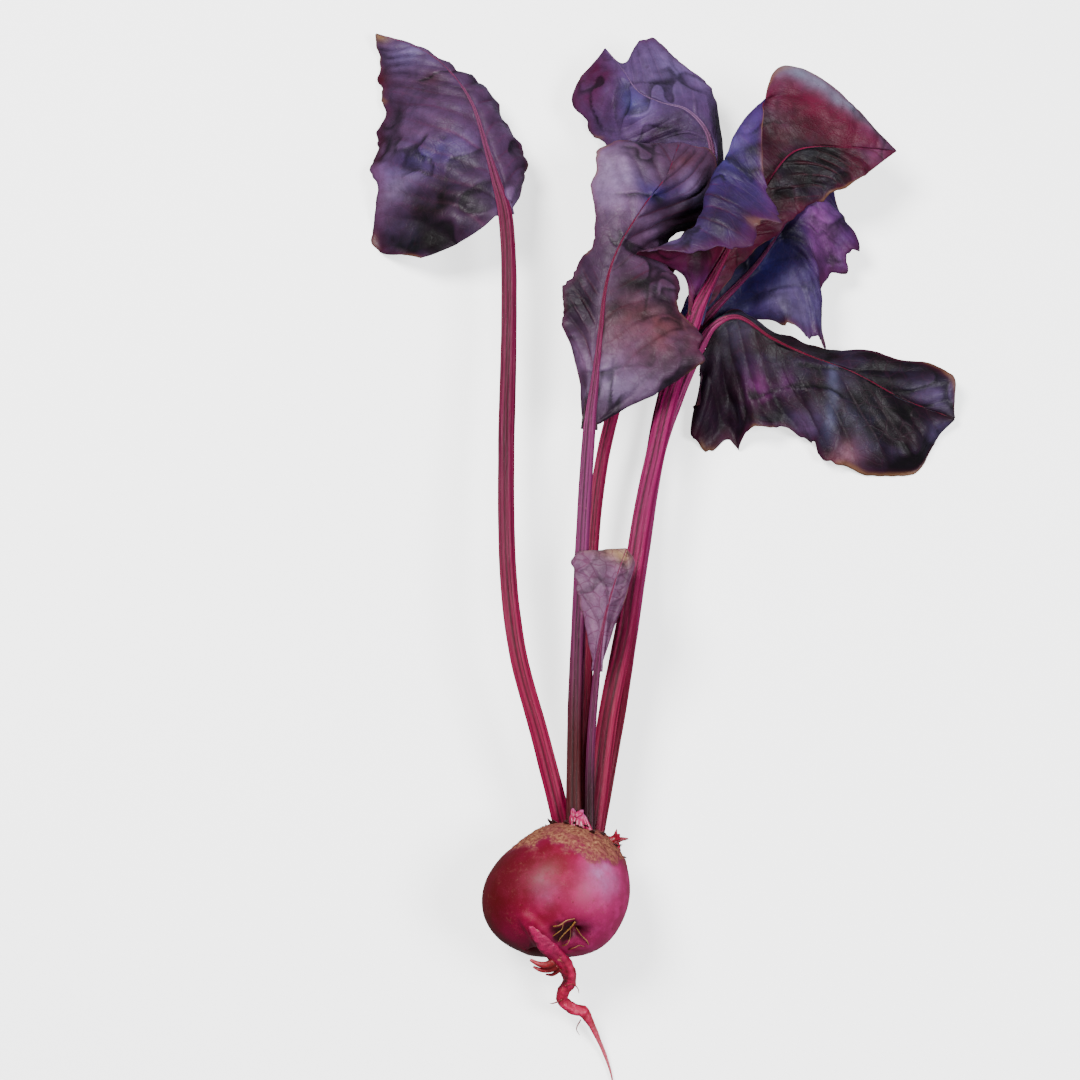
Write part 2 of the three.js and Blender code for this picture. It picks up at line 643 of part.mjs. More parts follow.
const beetroot = new THREE.Group();
beetroot.add(meshOf("root", root, red));
const lines = leaves.map(middleLine);
const beads = leaves.flatMap((leaf, i) => beadsOf(leaf, lines[i]));
leaves.forEach((leaf, i) => {
  const stalk = stalkSolid(leaf, lines[i]).subtract(trimmer);
  const grid = clearOfStalks(ruffle(leaf, bladeGrid(leaf, lines[i])), beads);
  const blade = sheetSolid(grid, leaf.young ? youngThickness : bladeThickness);
  beetroot.add(meshOf("stalk_" + leaf.name, stalk, crimson));
  beetroot.add(meshOf("blade_" + leaf.name, blade, leaf.young ? mauve : purple));
});

beetroot.add(meshOf("bud", budSolid().subtract(trimmer), pink));
beetroot.add(meshOf("stub", stubSolid().subtract(trimmer), crimson));

export default beetroot;
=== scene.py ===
# A beetroot lying on its side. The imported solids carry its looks: the skin and its corky crown,
# the ribbed stalks, and thin waved leaves with their veins.
import math
import bpy
import numpy as np
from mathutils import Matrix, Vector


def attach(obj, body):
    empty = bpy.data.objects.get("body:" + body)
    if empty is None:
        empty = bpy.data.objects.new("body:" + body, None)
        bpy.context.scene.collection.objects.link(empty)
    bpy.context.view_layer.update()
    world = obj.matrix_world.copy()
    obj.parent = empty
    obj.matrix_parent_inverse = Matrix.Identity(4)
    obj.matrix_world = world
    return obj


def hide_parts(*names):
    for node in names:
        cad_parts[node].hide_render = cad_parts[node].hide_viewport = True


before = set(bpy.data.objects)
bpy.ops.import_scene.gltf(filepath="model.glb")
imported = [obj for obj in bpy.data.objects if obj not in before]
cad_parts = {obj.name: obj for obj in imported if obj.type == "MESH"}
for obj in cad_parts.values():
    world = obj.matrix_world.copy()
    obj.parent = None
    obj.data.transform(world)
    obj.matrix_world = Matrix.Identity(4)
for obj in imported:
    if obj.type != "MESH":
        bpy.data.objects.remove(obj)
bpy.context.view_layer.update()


# Shapes are worked out in millimetres as whole arrays, and become metres in makeMesh.
def unit(v):  # a vector over its own length
    return v / np.maximum(np.linalg.norm(v, axis=-1, keepdims=True), 1e-9)


def hill(x, width):  # 1 in the middle, falling off as exp(-(x / width) squared)
    return np.exp(-(x / width) ** 2)


def smoothStep(low, high, x):  # 0 below low, 1 above high, 3x^2 - 2x^3 between them
    w = np.clip((x - low) / (high - low), 0, 1)
    return w * w * (3 - 2 * w)


def smoothLine(points, share):
    # Catmull-Rom line: each span is the cubic whose slopes are half the chords over its two ends.
    p = np.asarray(points, float)
    p = np.vstack([2 * p[0] - p[1], p, 2 * p[-1] - p[-2]])
    place = np.clip(share, 0, 1) * (len(p) - 3)
    k = np.minimum(place.astype(int), len(p) - 4)
    w = (place - k)[..., None]
    b, c = p[k + 1], p[k + 2]
    m, n = (c - p[k]) / 2, (p[k + 3] - b) / 2
    return (2 * b - 2 * c + m + n) * w ** 3 + (3 * c - 3 * b - 2 * m - n) * w ** 2 + m * w + b


def lineFrames(points, share):
    # The place on the line, with side level to the right of its direction, and over square to both.
    centre = smoothLine(points, share)
    forward = unit(smoothLine(points, share + 1e-3) - smoothLine(points, share - 1e-3))
    side = unit(np.cross(forward, [0, 0, 1]))
    return centre, side, np.cross(side, forward)


def softNoise(points, size, seed=0):
    # Value noise from -1 to 1: a repeatable number at each corner of cells of that size, blended smoothly.
    q = points / size
    cell = np.floor(q).astype(np.int64)
    f = q - cell
    f = f * f * (3 - 2 * f)
    total = np.zeros(points.shape[:-1])
    for corner in np.ndindex(2, 2, 2):
        i, j, k = [cell[..., n] + corner[n] for n in range(3)]
        h = (i * 374761393 + j * 668265263 + k * 2147483629 + seed * 974711) & 0xFFFFFFFF
        h = ((h ^ (h >> 13)) * 1274126177) & 0xFFFFFFFF
        value = ((h ^ (h >> 16)) & 0xFFFF) / 32767.5 - 1
        weight = [f[..., n] if corner[n] else 1 - f[..., n] for n in range(3)]
        total += weight[0] * weight[1] * weight[2] * value
    return total


def noiseSum(points, *terms):  # each (amount, size, seed) is an amount of soft noise
    return sum(amount * softNoise(points, size, seed) for amount, size, seed in terms)


def threeNoises(points, size, seed):  # one for each direction, from seeds in a row
    return np.stack([softNoise(points, size, seed + n) for n in range(3)], -1)


def paint(hexCode, light=1.9, depth=1.3):
    # A colour as it should look on screen, as the reflectance that gives it in this studio's light: made
    # linear, divided by the light's level, and moved away from its own grey by the depth.
    c = np.array([int(hexCode[i:i + 2], 16) for i in (1, 3, 5)]) / 255
    c = np.where(c <= 0.04045, c / 12.92, ((c + 0.055) / 1.055) ** 2.4) / light
    return np.maximum(c.mean() + (c - c.mean()) * depth, 0.0015)


def blend(a, b, amount):  # a where amount is 0, b where it is 1
    return a + (b - a) * np.asarray(amount)[..., None]


def makeMesh(name, points, quads, triangles=None, marks=None, flat=None):
    # Vertices and faces straight from arrays. The signed volume, a sixth of the sum of a . (b x c) over
    # the faces' triangles, tells whether they face outwards, and turns them all if they don't.
    triangles = np.zeros((0, 3), int) if triangles is None else triangles
    fans = np.vstack([quads[:, [0, 1, 2]], quads[:, [0, 2, 3]], triangles])
    a, b, c = points[fans[:, 0]], points[fans[:, 1]], points[fans[:, 2]]
    if np.einsum("ij,ij->", a, np.cross(b, c)) < 0:
        quads, triangles = quads[:, ::-1], triangles[:, ::-1]
    corners = np.concatenate([quads.ravel(), triangles.ravel()]).astype(np.int32)
    starts = np.concatenate([np.arange(len(quads)) * 4, len(quads) * 4 + np.arange(len(triangles)) * 3])
    mesh = bpy.data.meshes.new(name)
    mesh.vertices.add(len(points))
    mesh.vertices.foreach_set("co", (points * 0.001).astype(np.float32).ravel())
    mesh.loops.add(len(corners))
    mesh.loops.foreach_set("vertex_index", corners)
    mesh.polygons.add(len(starts))
    mesh.polygons.foreach_set("loop_start", starts.astype(np.int32))
    mesh.update(calc_edges=True)
    mesh.shade_smooth()
    for mark, values in (marks or {}).items():
        if values.ndim == 2:
            rgba = np.column_stack([values, np.ones(len(values))])
            mesh.attributes.new(mark, "FLOAT_COLOR", "POINT").data.foreach_set("color", rgba.ravel())
        else:
            mesh.attributes.new(mark, "FLOAT", "POINT").data.foreach_set("value", values.astype(np.float32))
    if flat is not None:
        mesh.uv_layers.new(name="flat").data.foreach_set("uv", (flat[corners] * 0.001).ravel())
    piece = bpy.data.objects.new(name, mesh)
    bpy.context.scene.collection.objects.link(piece)
    return piece


def dress(piece, material, slotName, *nodes):  # its finish, a slot name that is not used, and the CAD nodes it stands for; every piece goes on the root's body
    piece.data.materials.append(material)
    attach(piece, "root")
    if nodes:
        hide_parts(*nodes)
    print("made", piece.name, len(piece.data.polygons), "faces")


def wholeTurn(sides):  # angles round a ring
    return np.linspace(0, 2 * math.pi, sides, endpoint=False)[None, :]


def ringPoints(centre, side, over, x, y):  # x along side and y along over, from the middle of each ring
    return centre[:, None] + side[:, None] * x[..., None] + over[:, None] * y[..., None]


def tubeFaces(rows, sides, first=0):
    # Quads between neighbouring rings, and a fan of triangles at each end to the two points after them.
    i, j = np.meshgrid(np.arange(rows - 1), np.arange(sides), indexing="ij")
    a = (i * sides + j).ravel()
    b = (i * sides + (j + 1) % sides).ravel()
    quads = np.stack([a, a + sides, b + sides, b], 1)
    j = np.arange(sides)
    k = (j + 1) % sides
    far = (rows - 1) * sides
    count = rows * sides
    nearFan = np.stack([np.full(sides, count), j, k], 1)
    farFan = np.stack([np.full(sides, count + 1), far + k, far + j], 1)
    return quads + first, np.vstack([nearFan, farFan]) + first


def tubePoints(rings):  # rings of shape (rows, sides, 3), then the middle of the first and the last ring
    return np.vstack([rings.reshape(-1, 3), rings[0].mean(0), rings[-1].mean(0)])


def tubeMark(values, ends=None):  # a mark's value at each point of a tube, with its means at the ends
    ends = [values[0].mean(), values[-1].mean()] if ends is None else ends
    return np.append(values.reshape(-1), ends)


def makeTube(name, rings, marks, flat=None):
    quads, fans = tubeFaces(*rings.shape[:2])
    return makeMesh(name, tubePoints(rings), quads, fans, marks, flat)


def makeTubes(name, tubes, mark, values):  # tubes of one size in one mesh, with one mark
    step = tubes[0].shape[0] * tubes[0].shape[1] + 2
    faces = [tubeFaces(*tube.shape[:2], n * step) for n, tube in enumerate(tubes)]
    points = np.vstack([tubePoints(tube) for tube in tubes])
    quads, fans = np.vstack([q for q, f in faces]), np.vstack([f for q, f in faces])
    return makeMesh(name, points, quads, fans, {mark: np.concatenate(values)})


def sheetFaces(rows, columns, first=0):
    # Upper quads, the same quads turned over for the lower grid, and a strip of quads round the margin.
    grid = np.arange(rows * columns).reshape(rows, columns)
    upper = np.stack([grid[:-1, :-1], grid[:-1, 1:], grid[1:, 1:], grid[1:, :-1]], -1).reshape(-1, 4)
    lower = upper[:, ::-1] + rows * columns
    ring = np.concatenate([grid[0, :-1], grid[:-1, -1], grid[-1, :0:-1], grid[:0:-1, 0]])
    after = np.roll(ring, -1)
    strip = np.stack([after, ring, ring + rows * columns, after + rows * columns], 1)
    return np.vstack([upper, lower, strip]) + first


def gridNormals(grid):  # across the grid times along it
    return unit(np.cross(np.gradient(grid, axis=-2), np.gradient(grid, axis=-3)))


class Finish:
    # A material, its Principled shader and the nodes that feed it. A colour is a hex code, painted for
    # this finish's light, four numbers, or a link.
    def __init__(self, name, light=1.9):
        self.material = bpy.data.materials.new(name)
        self.material.use_nodes = True
        self.tree = self.material.node_tree
        self.skin = self.tree.nodes["Principled BSDF"]
        self.light = light
        self.place = self.add("TexCoord").outputs["Object"]

    def fill(self, socket, value):  # with a link or a constant
        if isinstance(value, bpy.types.NodeSocket):
            self.tree.links.new(value, socket)
        else:
            socket.default_value = value

    def add(self, kind, inputs=None, **settings):  # a node with its settings, and its inputs filled
        node = self.tree.nodes.new("ShaderNode" + kind)
        for key, value in settings.items():
            setattr(node, key, value)
        for key, value in (inputs or {}).items():
            self.fill(node.inputs[key], value)
        return node

    def mark(self, name, output="Fac"):
        return self.add("Attribute", attribute_name=name).outputs[output]

    def flat(self):
        return self.add("UVMap", uv_map="flat").outputs[0]

    def noise(self, scale, detail=3, roughness=0.55, where=None):
        where = self.place if where is None else where
        inputs = {"Vector": where, "Scale": scale, "Detail": detail, "Roughness": roughness}
        return self.add("TexNoise", inputs).outputs["Fac"]

    def cells(self, scale, feature="F1", where=None):
        where = self.place if where is None else where
        return self.add("TexVoronoi", {"Vector": where, "Scale": scale}, feature=feature).outputs["Distance"]

    def stretched(self, where, scale):
        return self.add("Mapping", {"Vector": where, "Scale": scale}).outputs[0]

    def remap(self, value, low, high, newLow=0.0, newHigh=1.0):
        inputs = {0: value, 1: low, 2: high, 3: newLow, 4: newHigh}
        return self.add("MapRange", inputs, interpolation_type="SMOOTHSTEP").outputs[0]

    def maths(self, operation, a, b):
        return self.add("Math", {0: a, 1: b}, operation=operation).outputs[0]

    def times(self, a, b):
        return self.maths("MULTIPLY", a, b)

    def plus(self, a, b):
        return self.maths("ADD", a, b)

    def over(self, colour, amount, other, how="MIX"):  # the colour, with the other over it by the amount
        inputs = {0: amount}
        for key, c in ((6, colour), (7, other)):
            inputs[key] = (*[float(x) for x in paint(c, self.light)], 1.0) if isinstance(c, str) else c
        return self.add("Mix", inputs, data_type="RGBA", blend_type=how).outputs[2]

    def doubled(self, colour):
        return self.over(colour, 1.0, colour, "ADD")

    def relief(self, height, distance, strength):
        bump = self.add("Bump", {"Height": height, "Distance": distance, "Strength": strength})
        self.fill(self.skin.inputs["Normal"], bump.outputs[0])

    def finish(self, **sockets):  # the shader's own sockets, linked or set to constants
        for key, value in sockets.items():
            self.fill(self.skin.inputs[key.replace("_", " ")], value)
        return self.material


# The root lies on its flat rest spot at the origin, with its crown turned from +Y towards +X and a
# little below level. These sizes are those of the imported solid.
root = {
    "width": 71, "above": 32, "below": 33.8, "restDepth": 1.2,
    "azimuth": 25, "tilt": 12,
    "shoulderDrop": 7, "shoulderFull": 2.8, "sideSwell": 2, "sideTrim": 5,
    "crownRise": 2.2, "crownReach": 0.36,
    "pitDepth": 7, "pitReach": 0.21, "pitDirection": (0.27, -0.75, 0.6),
    "sides": 288, "rings": 168, "poleGap": 0.012,
    "corkEdge": 1.4, "corkFade": 0.46, "corkRough": 0.33,
    "lipHeight": 1.5, "lipWidth": 2.4,
    "pitMiddlePlace": (4, -22), "pitMiddleSize": 7.5,
    # painted highlights on the skin: each a place in plan, its size and its amount
    "paintedHighlightPlaces": [((23, 2.8), 9, 1.0), ((-5, -6), 6, 0.3)],
}
turnAngle, tiltAngle = math.radians(root["azimuth"]), math.radians(root["tilt"])
rootAxis = np.array([
    math.sin(turnAngle) * math.cos(tiltAngle),
    math.cos(turnAngle) * math.cos(tiltAngle),
    -math.sin(tiltAngle),
])
rootAcross = unit(np.cross(rootAxis, [0, 0, 1]))
rootOver = np.cross(rootAcross, rootAxis)
rootCentre = np.array([0, 0, root["width"] / 2 - root["restDepth"]])
pitDirection = unit(np.array(root["pitDirection"]))


def rootOffset(across, over, along):  # in the root's own directions
    across, over, along = np.broadcast_arrays(across, over, along)
    return rootAxis * along[..., None] + rootAcross * across[..., None] + rootOver * over[..., None]


def rootDirection(polar, turn):  # from the root's middle: polar is 0 at the crown, turn goes round the axis
    return rootOffset(np.sin(polar) * np.cos(turn), np.sin(polar) * np.sin(turn), np.cos(polar))


def rootSurface(d, swell=0.0):
    # A squat egg: the ring grows as sin(polar)^0.9 and the height along the axis as cos(polar)^0.95,
    # then a raised crown, slow lumps, a low left and a full right shoulder, a lower side fuller on the
    # left than on the right, and the pit.
    along = np.clip(d @ rootAxis, -1, 1)
    polar = np.arccos(along)
    turn = np.arctan2(d @ rootOver, d @ rootAcross)
    ring = np.sin(polar) ** 0.9 * root["width"] / 2
    height = np.sign(along) * np.abs(along) ** 0.95 * np.where(along > 0, root["above"], root["below"])
    lumps = 1 + 0.018 * np.sin(2 * turn + 0.8) + 0.012 * np.sin(3 * turn - 1.1)
    leftward, rightward = np.maximum(0, -np.cos(turn)) ** 1.5, np.maximum(0, np.cos(turn)) ** 1.5
    onLeft = root["sideSwell"] * hill(polar - 2.6, 0.5) - root["shoulderDrop"] * hill(polar - 1.16, 0.7)
    onRight = root["shoulderFull"] * hill(polar - 0.4, 0.45) - root["sideTrim"] * hill(polar - 2.8, 0.5)
    rise = root["crownRise"] * np.exp(-(polar / root["crownReach"]) ** 4)
    pit = root["pitDepth"] * hill(np.arccos(np.clip(d @ pitDirection, -1, 1)), root["pitReach"])
    p = rootCentre + rootOffset(ring * lumps * np.cos(turn), ring * lumps * np.sin(turn), height + rise)
    return p + d * (swell - pit + leftward * onLeft + rightward * onRight)[..., None]


def onSkin(x, y):
    # The point of the root's upper side above a place in plan: the direction is corrected by what is
    # still missing sideways, a few times over.
    x, y = np.asarray(x, float), np.asarray(y, float)
    up = np.sqrt(np.maximum(36 ** 2 - x ** 2 - y ** 2, 60))
    d = unit(np.stack([x, y, up], -1))
    for _ in range(12):
        p = rootSurface(d)
        d = unit(d + np.stack([x - p[..., 0], y - p[..., 1], 0 * x], -1) * 0.025)
    return rootSurface(d)


def crownPoint(across, over, rise):
    return rootCentre + rootOffset(across, over, root["above"] + root["crownRise"] + rise)


tail = {
    "points": [[-13.6, -16.4, 59.6], [-10, -21, 59.2], [-6, -26.6, 54.6], [-0.6, -32, 45], [5, -37.6, 35],
        [6.5, -43, 28], [3.5, -48, 24], [3, -52, 20], [7.5, -55.5, 16.5], [13.5, -57.5, 13],
        [17.5, -63, 9], [21, -70, 5.2], [24.5, -78, 2.8], [27, -86, 1.9], [29, -97, 1.4]],
    "radii": [1.8, 3, 3.8, 4, 3.6, 3.2, 3.1, 3, 2.9, 2.7, 1.6, 1.1, 0.8, 0.6, 0.45],
    "sides": 36, "rings": 300, "upperPart": 0.3,
    "lobes": 0.12, "crease": 0.16, "endTaper": 0.35,
}
floorFloat = 0.05  # how far over the floor the lowest points of a tube or a leaf stay


def tailRadius(t):
    keys = np.array(tail["radii"])
    return np.interp(t * (len(keys) - 1), np.arange(len(keys)), keys)


def distanceToTail(points):
    # The least distance to the tail's line, less its radius there, found along its upper part.
    nearest = np.full(points.shape[:-1], 99.0)
    for t in np.linspace(0, tail["upperPart"], 26):
        away = np.linalg.norm(points - smoothLine(tail["points"], np.array(t)), axis=-1) - tailRadius(t)
        nearest = np.minimum(nearest, away)
    return nearest


def makeRoot():
    # Rings round the axis from the crown to the tail: the egg, its skin's fine lumps, the cork's rough
    # plates and fine rings down to a ragged edge, the pit, and a lip that rises to meet the tail.
    polar = np.linspace(root["poleGap"], math.pi - root["poleGap"], root["rings"])[:, None]
    turn = wholeTurn(root["sides"])
    d = rootDirection(polar, turn)
    p = rootSurface(d)
    edge = root["corkEdge"] + noiseSum(p, (0.1, 14, 3), (0.15, 5.5, 4), (0.06, 2.2, 5))
    edge = edge + 0.3 * hill(2 * np.sin((turn - 2.6) / 2), 0.5)
    edge = edge - 0.4 * hill(2 * np.sin((turn - 0.3) / 2), 0.6)
    cork = smoothStep(edge, edge - root["corkFade"], polar)
    plates = np.abs(softNoise(p, 3.4, 6)) + 0.6 * np.abs(softNoise(p, 1.7, 7))
    fineRings = np.sin(polar * 46 + 2.2 * softNoise(p, 9, 8))
    skin = noiseSum(p, (0.28, 13, 1), (0.07, 4.2, 2))
    lift = skin + cork * root["corkRough"] * (plates * 1.5 - 0.5 + 0.28 * fineRings)
    away = distanceToTail(p)
    lift = lift + root["lipHeight"] * hill(np.maximum(away, 0), root["lipWidth"]) * smoothStep(6, 1, away)
    pitAngle = np.arccos(np.clip(d @ pitDirection, -1, 1))
    # also the mark for the painted shade in the pit
    pit = hill(pitAngle, 0.17)
    lift = lift - 1.1 * hill(pitAngle, 0.09) + 0.5 * pit * softNoise(p, 2.5, 9)
    # a near-black brown patch at the pit's middle
    fromPitMiddle = (p - onSkin(*root["pitMiddlePlace"])) * [1, 1, 0.6]
    pitMiddle = hill(np.linalg.norm(fromPitMiddle, axis=-1), root["pitMiddleSize"])
    pitMiddle = np.clip(pitMiddle * (0.95 + 0.5 * softNoise(p, 3, 13)), 0, 1)
    p = p + d * lift[..., None]
    p[..., 2] = np.maximum(p[..., 2], 0)
    # Painted highlights: soft pale patches round the given places
    paintedHighlight = sum(
        amount * hill(np.linalg.norm(p - onSkin(*place), axis=-1), size)
        for place, size, amount in root["paintedHighlightPlaces"]
    )
    paintedHighlight = paintedHighlight * (0.8 + 0.3 * softNoise(p, 4, 12))
    across = p @ rootAcross + 4 * softNoise(p, 12, 14)
    # painted shade: the left side darker
    paintedLeftShade = smoothStep(4, -30, across)
    # painted light: the right shoulder rosier
    paintedRightLight = smoothStep(-2, 30, across) * smoothStep(-6, 10, p @ rootOver - 14)
    marks = {"cork": cork, "pit": pit, "paintedHighlight": paintedHighlight, "pitMiddle": pitMiddle, "paintedLeftShade": paintedLeftShade, "paintedRightLight": paintedRightLight}
    return makeTube("rootSkin", p, {key: tubeMark(value) for key, value in marks.items()})


def makeTail():
    # Rings along the tail's line. Their radius swings with three lobes that twist along it, and has
    # wrinkles and one long crease; the last part tapers to a thread.
    t = np.linspace(0, 1, tail["rings"])
    centre, side, over = lineFrames(tail["points"], t)
    t = t[:, None]
    a = wholeTurn(tail["sides"])
    base = tailRadius(t) * (1 + tail["lobes"] * np.sin(3 * a + 9 * t))

    def rings(r):
        return ringPoints(centre, side, over, r * np.cos(a), r * np.sin(a))

    p = rings(base)
    folds = noiseSum(p, (0.11, 3.5, 21), (0.07, 1.6, 22), (0.04, 0.8, 23))
    crease = -tail["crease"] * hill(np.sin(a + 5 * t + 0.6), 0.22) * smoothStep(0.1, 0.25, t)
    p = rings(base * (1 + folds + crease) * (1 - tail["endTaper"] * smoothStep(0.86, 1, t)))
    p[..., 2] = np.maximum(p[..., 2], floorFloat)
    # the crest mark places painted shade in the wrinkles and a painted highlight on the crests
    crest = np.clip((folds + crease) / 0.2 + 0.5, 0, 1)
    pale, bright = smoothStep(0.62, 0.95, t + 0 * a), smoothStep(0.12, 0.34, t + 0 * a)
    marks = {"pale": pale, "crest": crest, "bright": bright}
    return makeTube("rootTail", p, {key: tubeMark(value) for key, value in marks.items()})


def threads(name, lines, radii, sides, rows):
    # Thin tubes along smooth lines, each tapering to a third of its radius, in one mesh.
    t = np.linspace(0, 1, rows)
    a = wholeTurn(sides)
    tubes = []
    for line, radius in zip(lines, radii):
        r = (radius * (1 - 0.67 * t ** 1.5))[:, None]
        tubes.append(ringPoints(*lineFrames(line, t), r * np.cos(a), r * np.sin(a)))
    return makeTubes(name, tubes, "fade", [np.append(np.repeat(t, sides), [0, 1])] * len(tubes))


# Golden root hairs in the pit, as places in plan with a height over the skin
pitHairs = {
    "lines": [
        [(8.7, -18.2, 0.6), (6.6, -20, 1.6), (4, -22.1, 1.8), (1.8, -24.6, 1.4), (0.7, -27, 0.6)],
        [(9.2, -20.4, 0.8), (11.4, -22.6, 1.7), (14, -25.2, 1.2), (15.4, -27.6, 0.4)],
        [(-1.5, -20.5, 0.5), (1.6, -19.4, 1.5), (4.6, -17.6, 1.3), (8.4, -17, 0.6)],
        [(2.2, -28.4, 0.7), (4.8, -26.5, 1.6), (6.2, -23.6, 1.4), (6.6, -20.6, 0.6)],
        [(-2, -24.6, 0.5), (0.4, -22.7, 1.3), (2.6, -21, 1.2), (3, -18.8, 0.4)],
        [(5.6, -30.6, 0.5), (7.9, -28.2, 1.5), (10.8, -27.2, 1.1), (13.4, -28.6, 0.4)],
    ],
    "radii": [0.42, 0.32, 0.34, 0.28, 0.24, 0.22], "sides": 7, "rows": 26,
}
# Small rootlets and shreds where the tail leaves the root
rootlets = {
    "lines": [
        [(-1, -35.5, 46), (-4.5, -37, 44.5), (-8.5, -36.5, 43.5), (-12.5, -34.5, 43)],
        [(0.5, -37, 43.5), (-3, -39, 41.5), (-7.5, -39, 40), (-11, -37.5, 39.5)],
        [(2, -38.5, 41), (-1.5, -41, 38.5), (-5, -41, 37)],
        [(2, -39, 38), (6, -37.5, 38), (9, -39, 35), (8, -42, 31)],
        [(4, -46, 31), (8, -45, 31), (10.5, -47, 28.5), (11, -49, 26)],
        [(3, -52, 25), (-1, -53.5, 23), (-3, -53.6, 21)],
        [(12, -61, 16), (10, -65, 13), (11.5, -68, 10)],
    ],
    "radii": [2, 1.7, 1.2, 0.5, 0.4, 0.45, 0.34], "sides": 12, "rows": 40,
}


def makePitHairs():
    lines = []
    for line in pitHairs["lines"]:
        x, y, up = np.array(line, float).T
        ground = onSkin(x, y)
        lines.append(ground + unit(ground - rootCentre) * up[:, None])
    return threads("rootHairs", lines, *[pitHairs[key] for key in ("radii", "sides", "rows")])


def makeRootlets():
    return threads("rootlets", *[rootlets[key] for key in ("lines", "radii", "sides", "rows")])


crown = {
    "flakes": 34, "rows": 7, "columns": 5, "seed": 7, "sink": 0.4, "halfThick": 0.14, "ragged": 0.16,
    "polar": (0.36, 0.62), "length": (0.8, 2.3), "width": (1.8, 4.2), "lean": (0.8, 1.5), "curl": (-0.5, 0.6),
}


def makeCrownScales():
    # Dry scraps of old leaf bases in a ring round the crown. Each is a small sheet that starts in the
    # skin, leans outwards, narrows to a torn end and curls; all are made at once from random numbers.
    rng = np.random.default_rng(crown["seed"])
    n, rows, columns = crown["flakes"], crown["rows"], crown["columns"]
    turn = wholeTurn(n)[0] + rng.uniform(-0.09, 0.09, n)
    polar, length, width, lean, curl = [
        rng.uniform(*crown[key], n) for key in ("polar", "length", "width", "lean", "curl")
    ]
    d = rootDirection(polar, turn)
    foot = rootSurface(d, -crown["sink"])
    outward = unit(d - rootAxis * (d @ rootAxis)[:, None])
    along = unit(rootAxis * np.cos(lean)[:, None] + outward * np.sin(lean)[:, None])
    across = unit(np.cross(along, outward + rootAxis * 0.2))
    v = np.linspace(0, 1, rows)[None, :, None]
    u = np.linspace(-1, 1, columns)[None, None, :]
    torn = 1 + 0.22 * rng.uniform(-1, 1, (n, 1, columns)) * v
    reach = length[:, None, None] * v * torn
    spread = width[:, None, None] / 2 * u * (1 - 0.75 * v ** 1.6)
    bend = curl[:, None, None] * 2.2 * v ** 2 + 0.35 * width[:, None, None] * (u ** 2) * (0.4 + v)
    grid = (
        foot[:, None, None]
        + along[:, None, None] * reach[..., None]
        + across[:, None, None] * spread[..., None]
        + outward[:, None, None] * bend[..., None]
        + rng.uniform(-crown["ragged"], crown["ragged"], (n, rows, columns, 3))
    )
    thick = gridNormals(grid) * crown["halfThick"]
    points = np.stack([grid + thick, grid - thick], 1).reshape(-1, 3)
    quads = np.vstack([sheetFaces(rows, columns, k * 2 * rows * columns) for k in range(n)])
    fade = np.tile(np.repeat(v.ravel(), columns), 2 * n)
    return makeMesh("crownScales", points, quads, marks={"fade": fade})


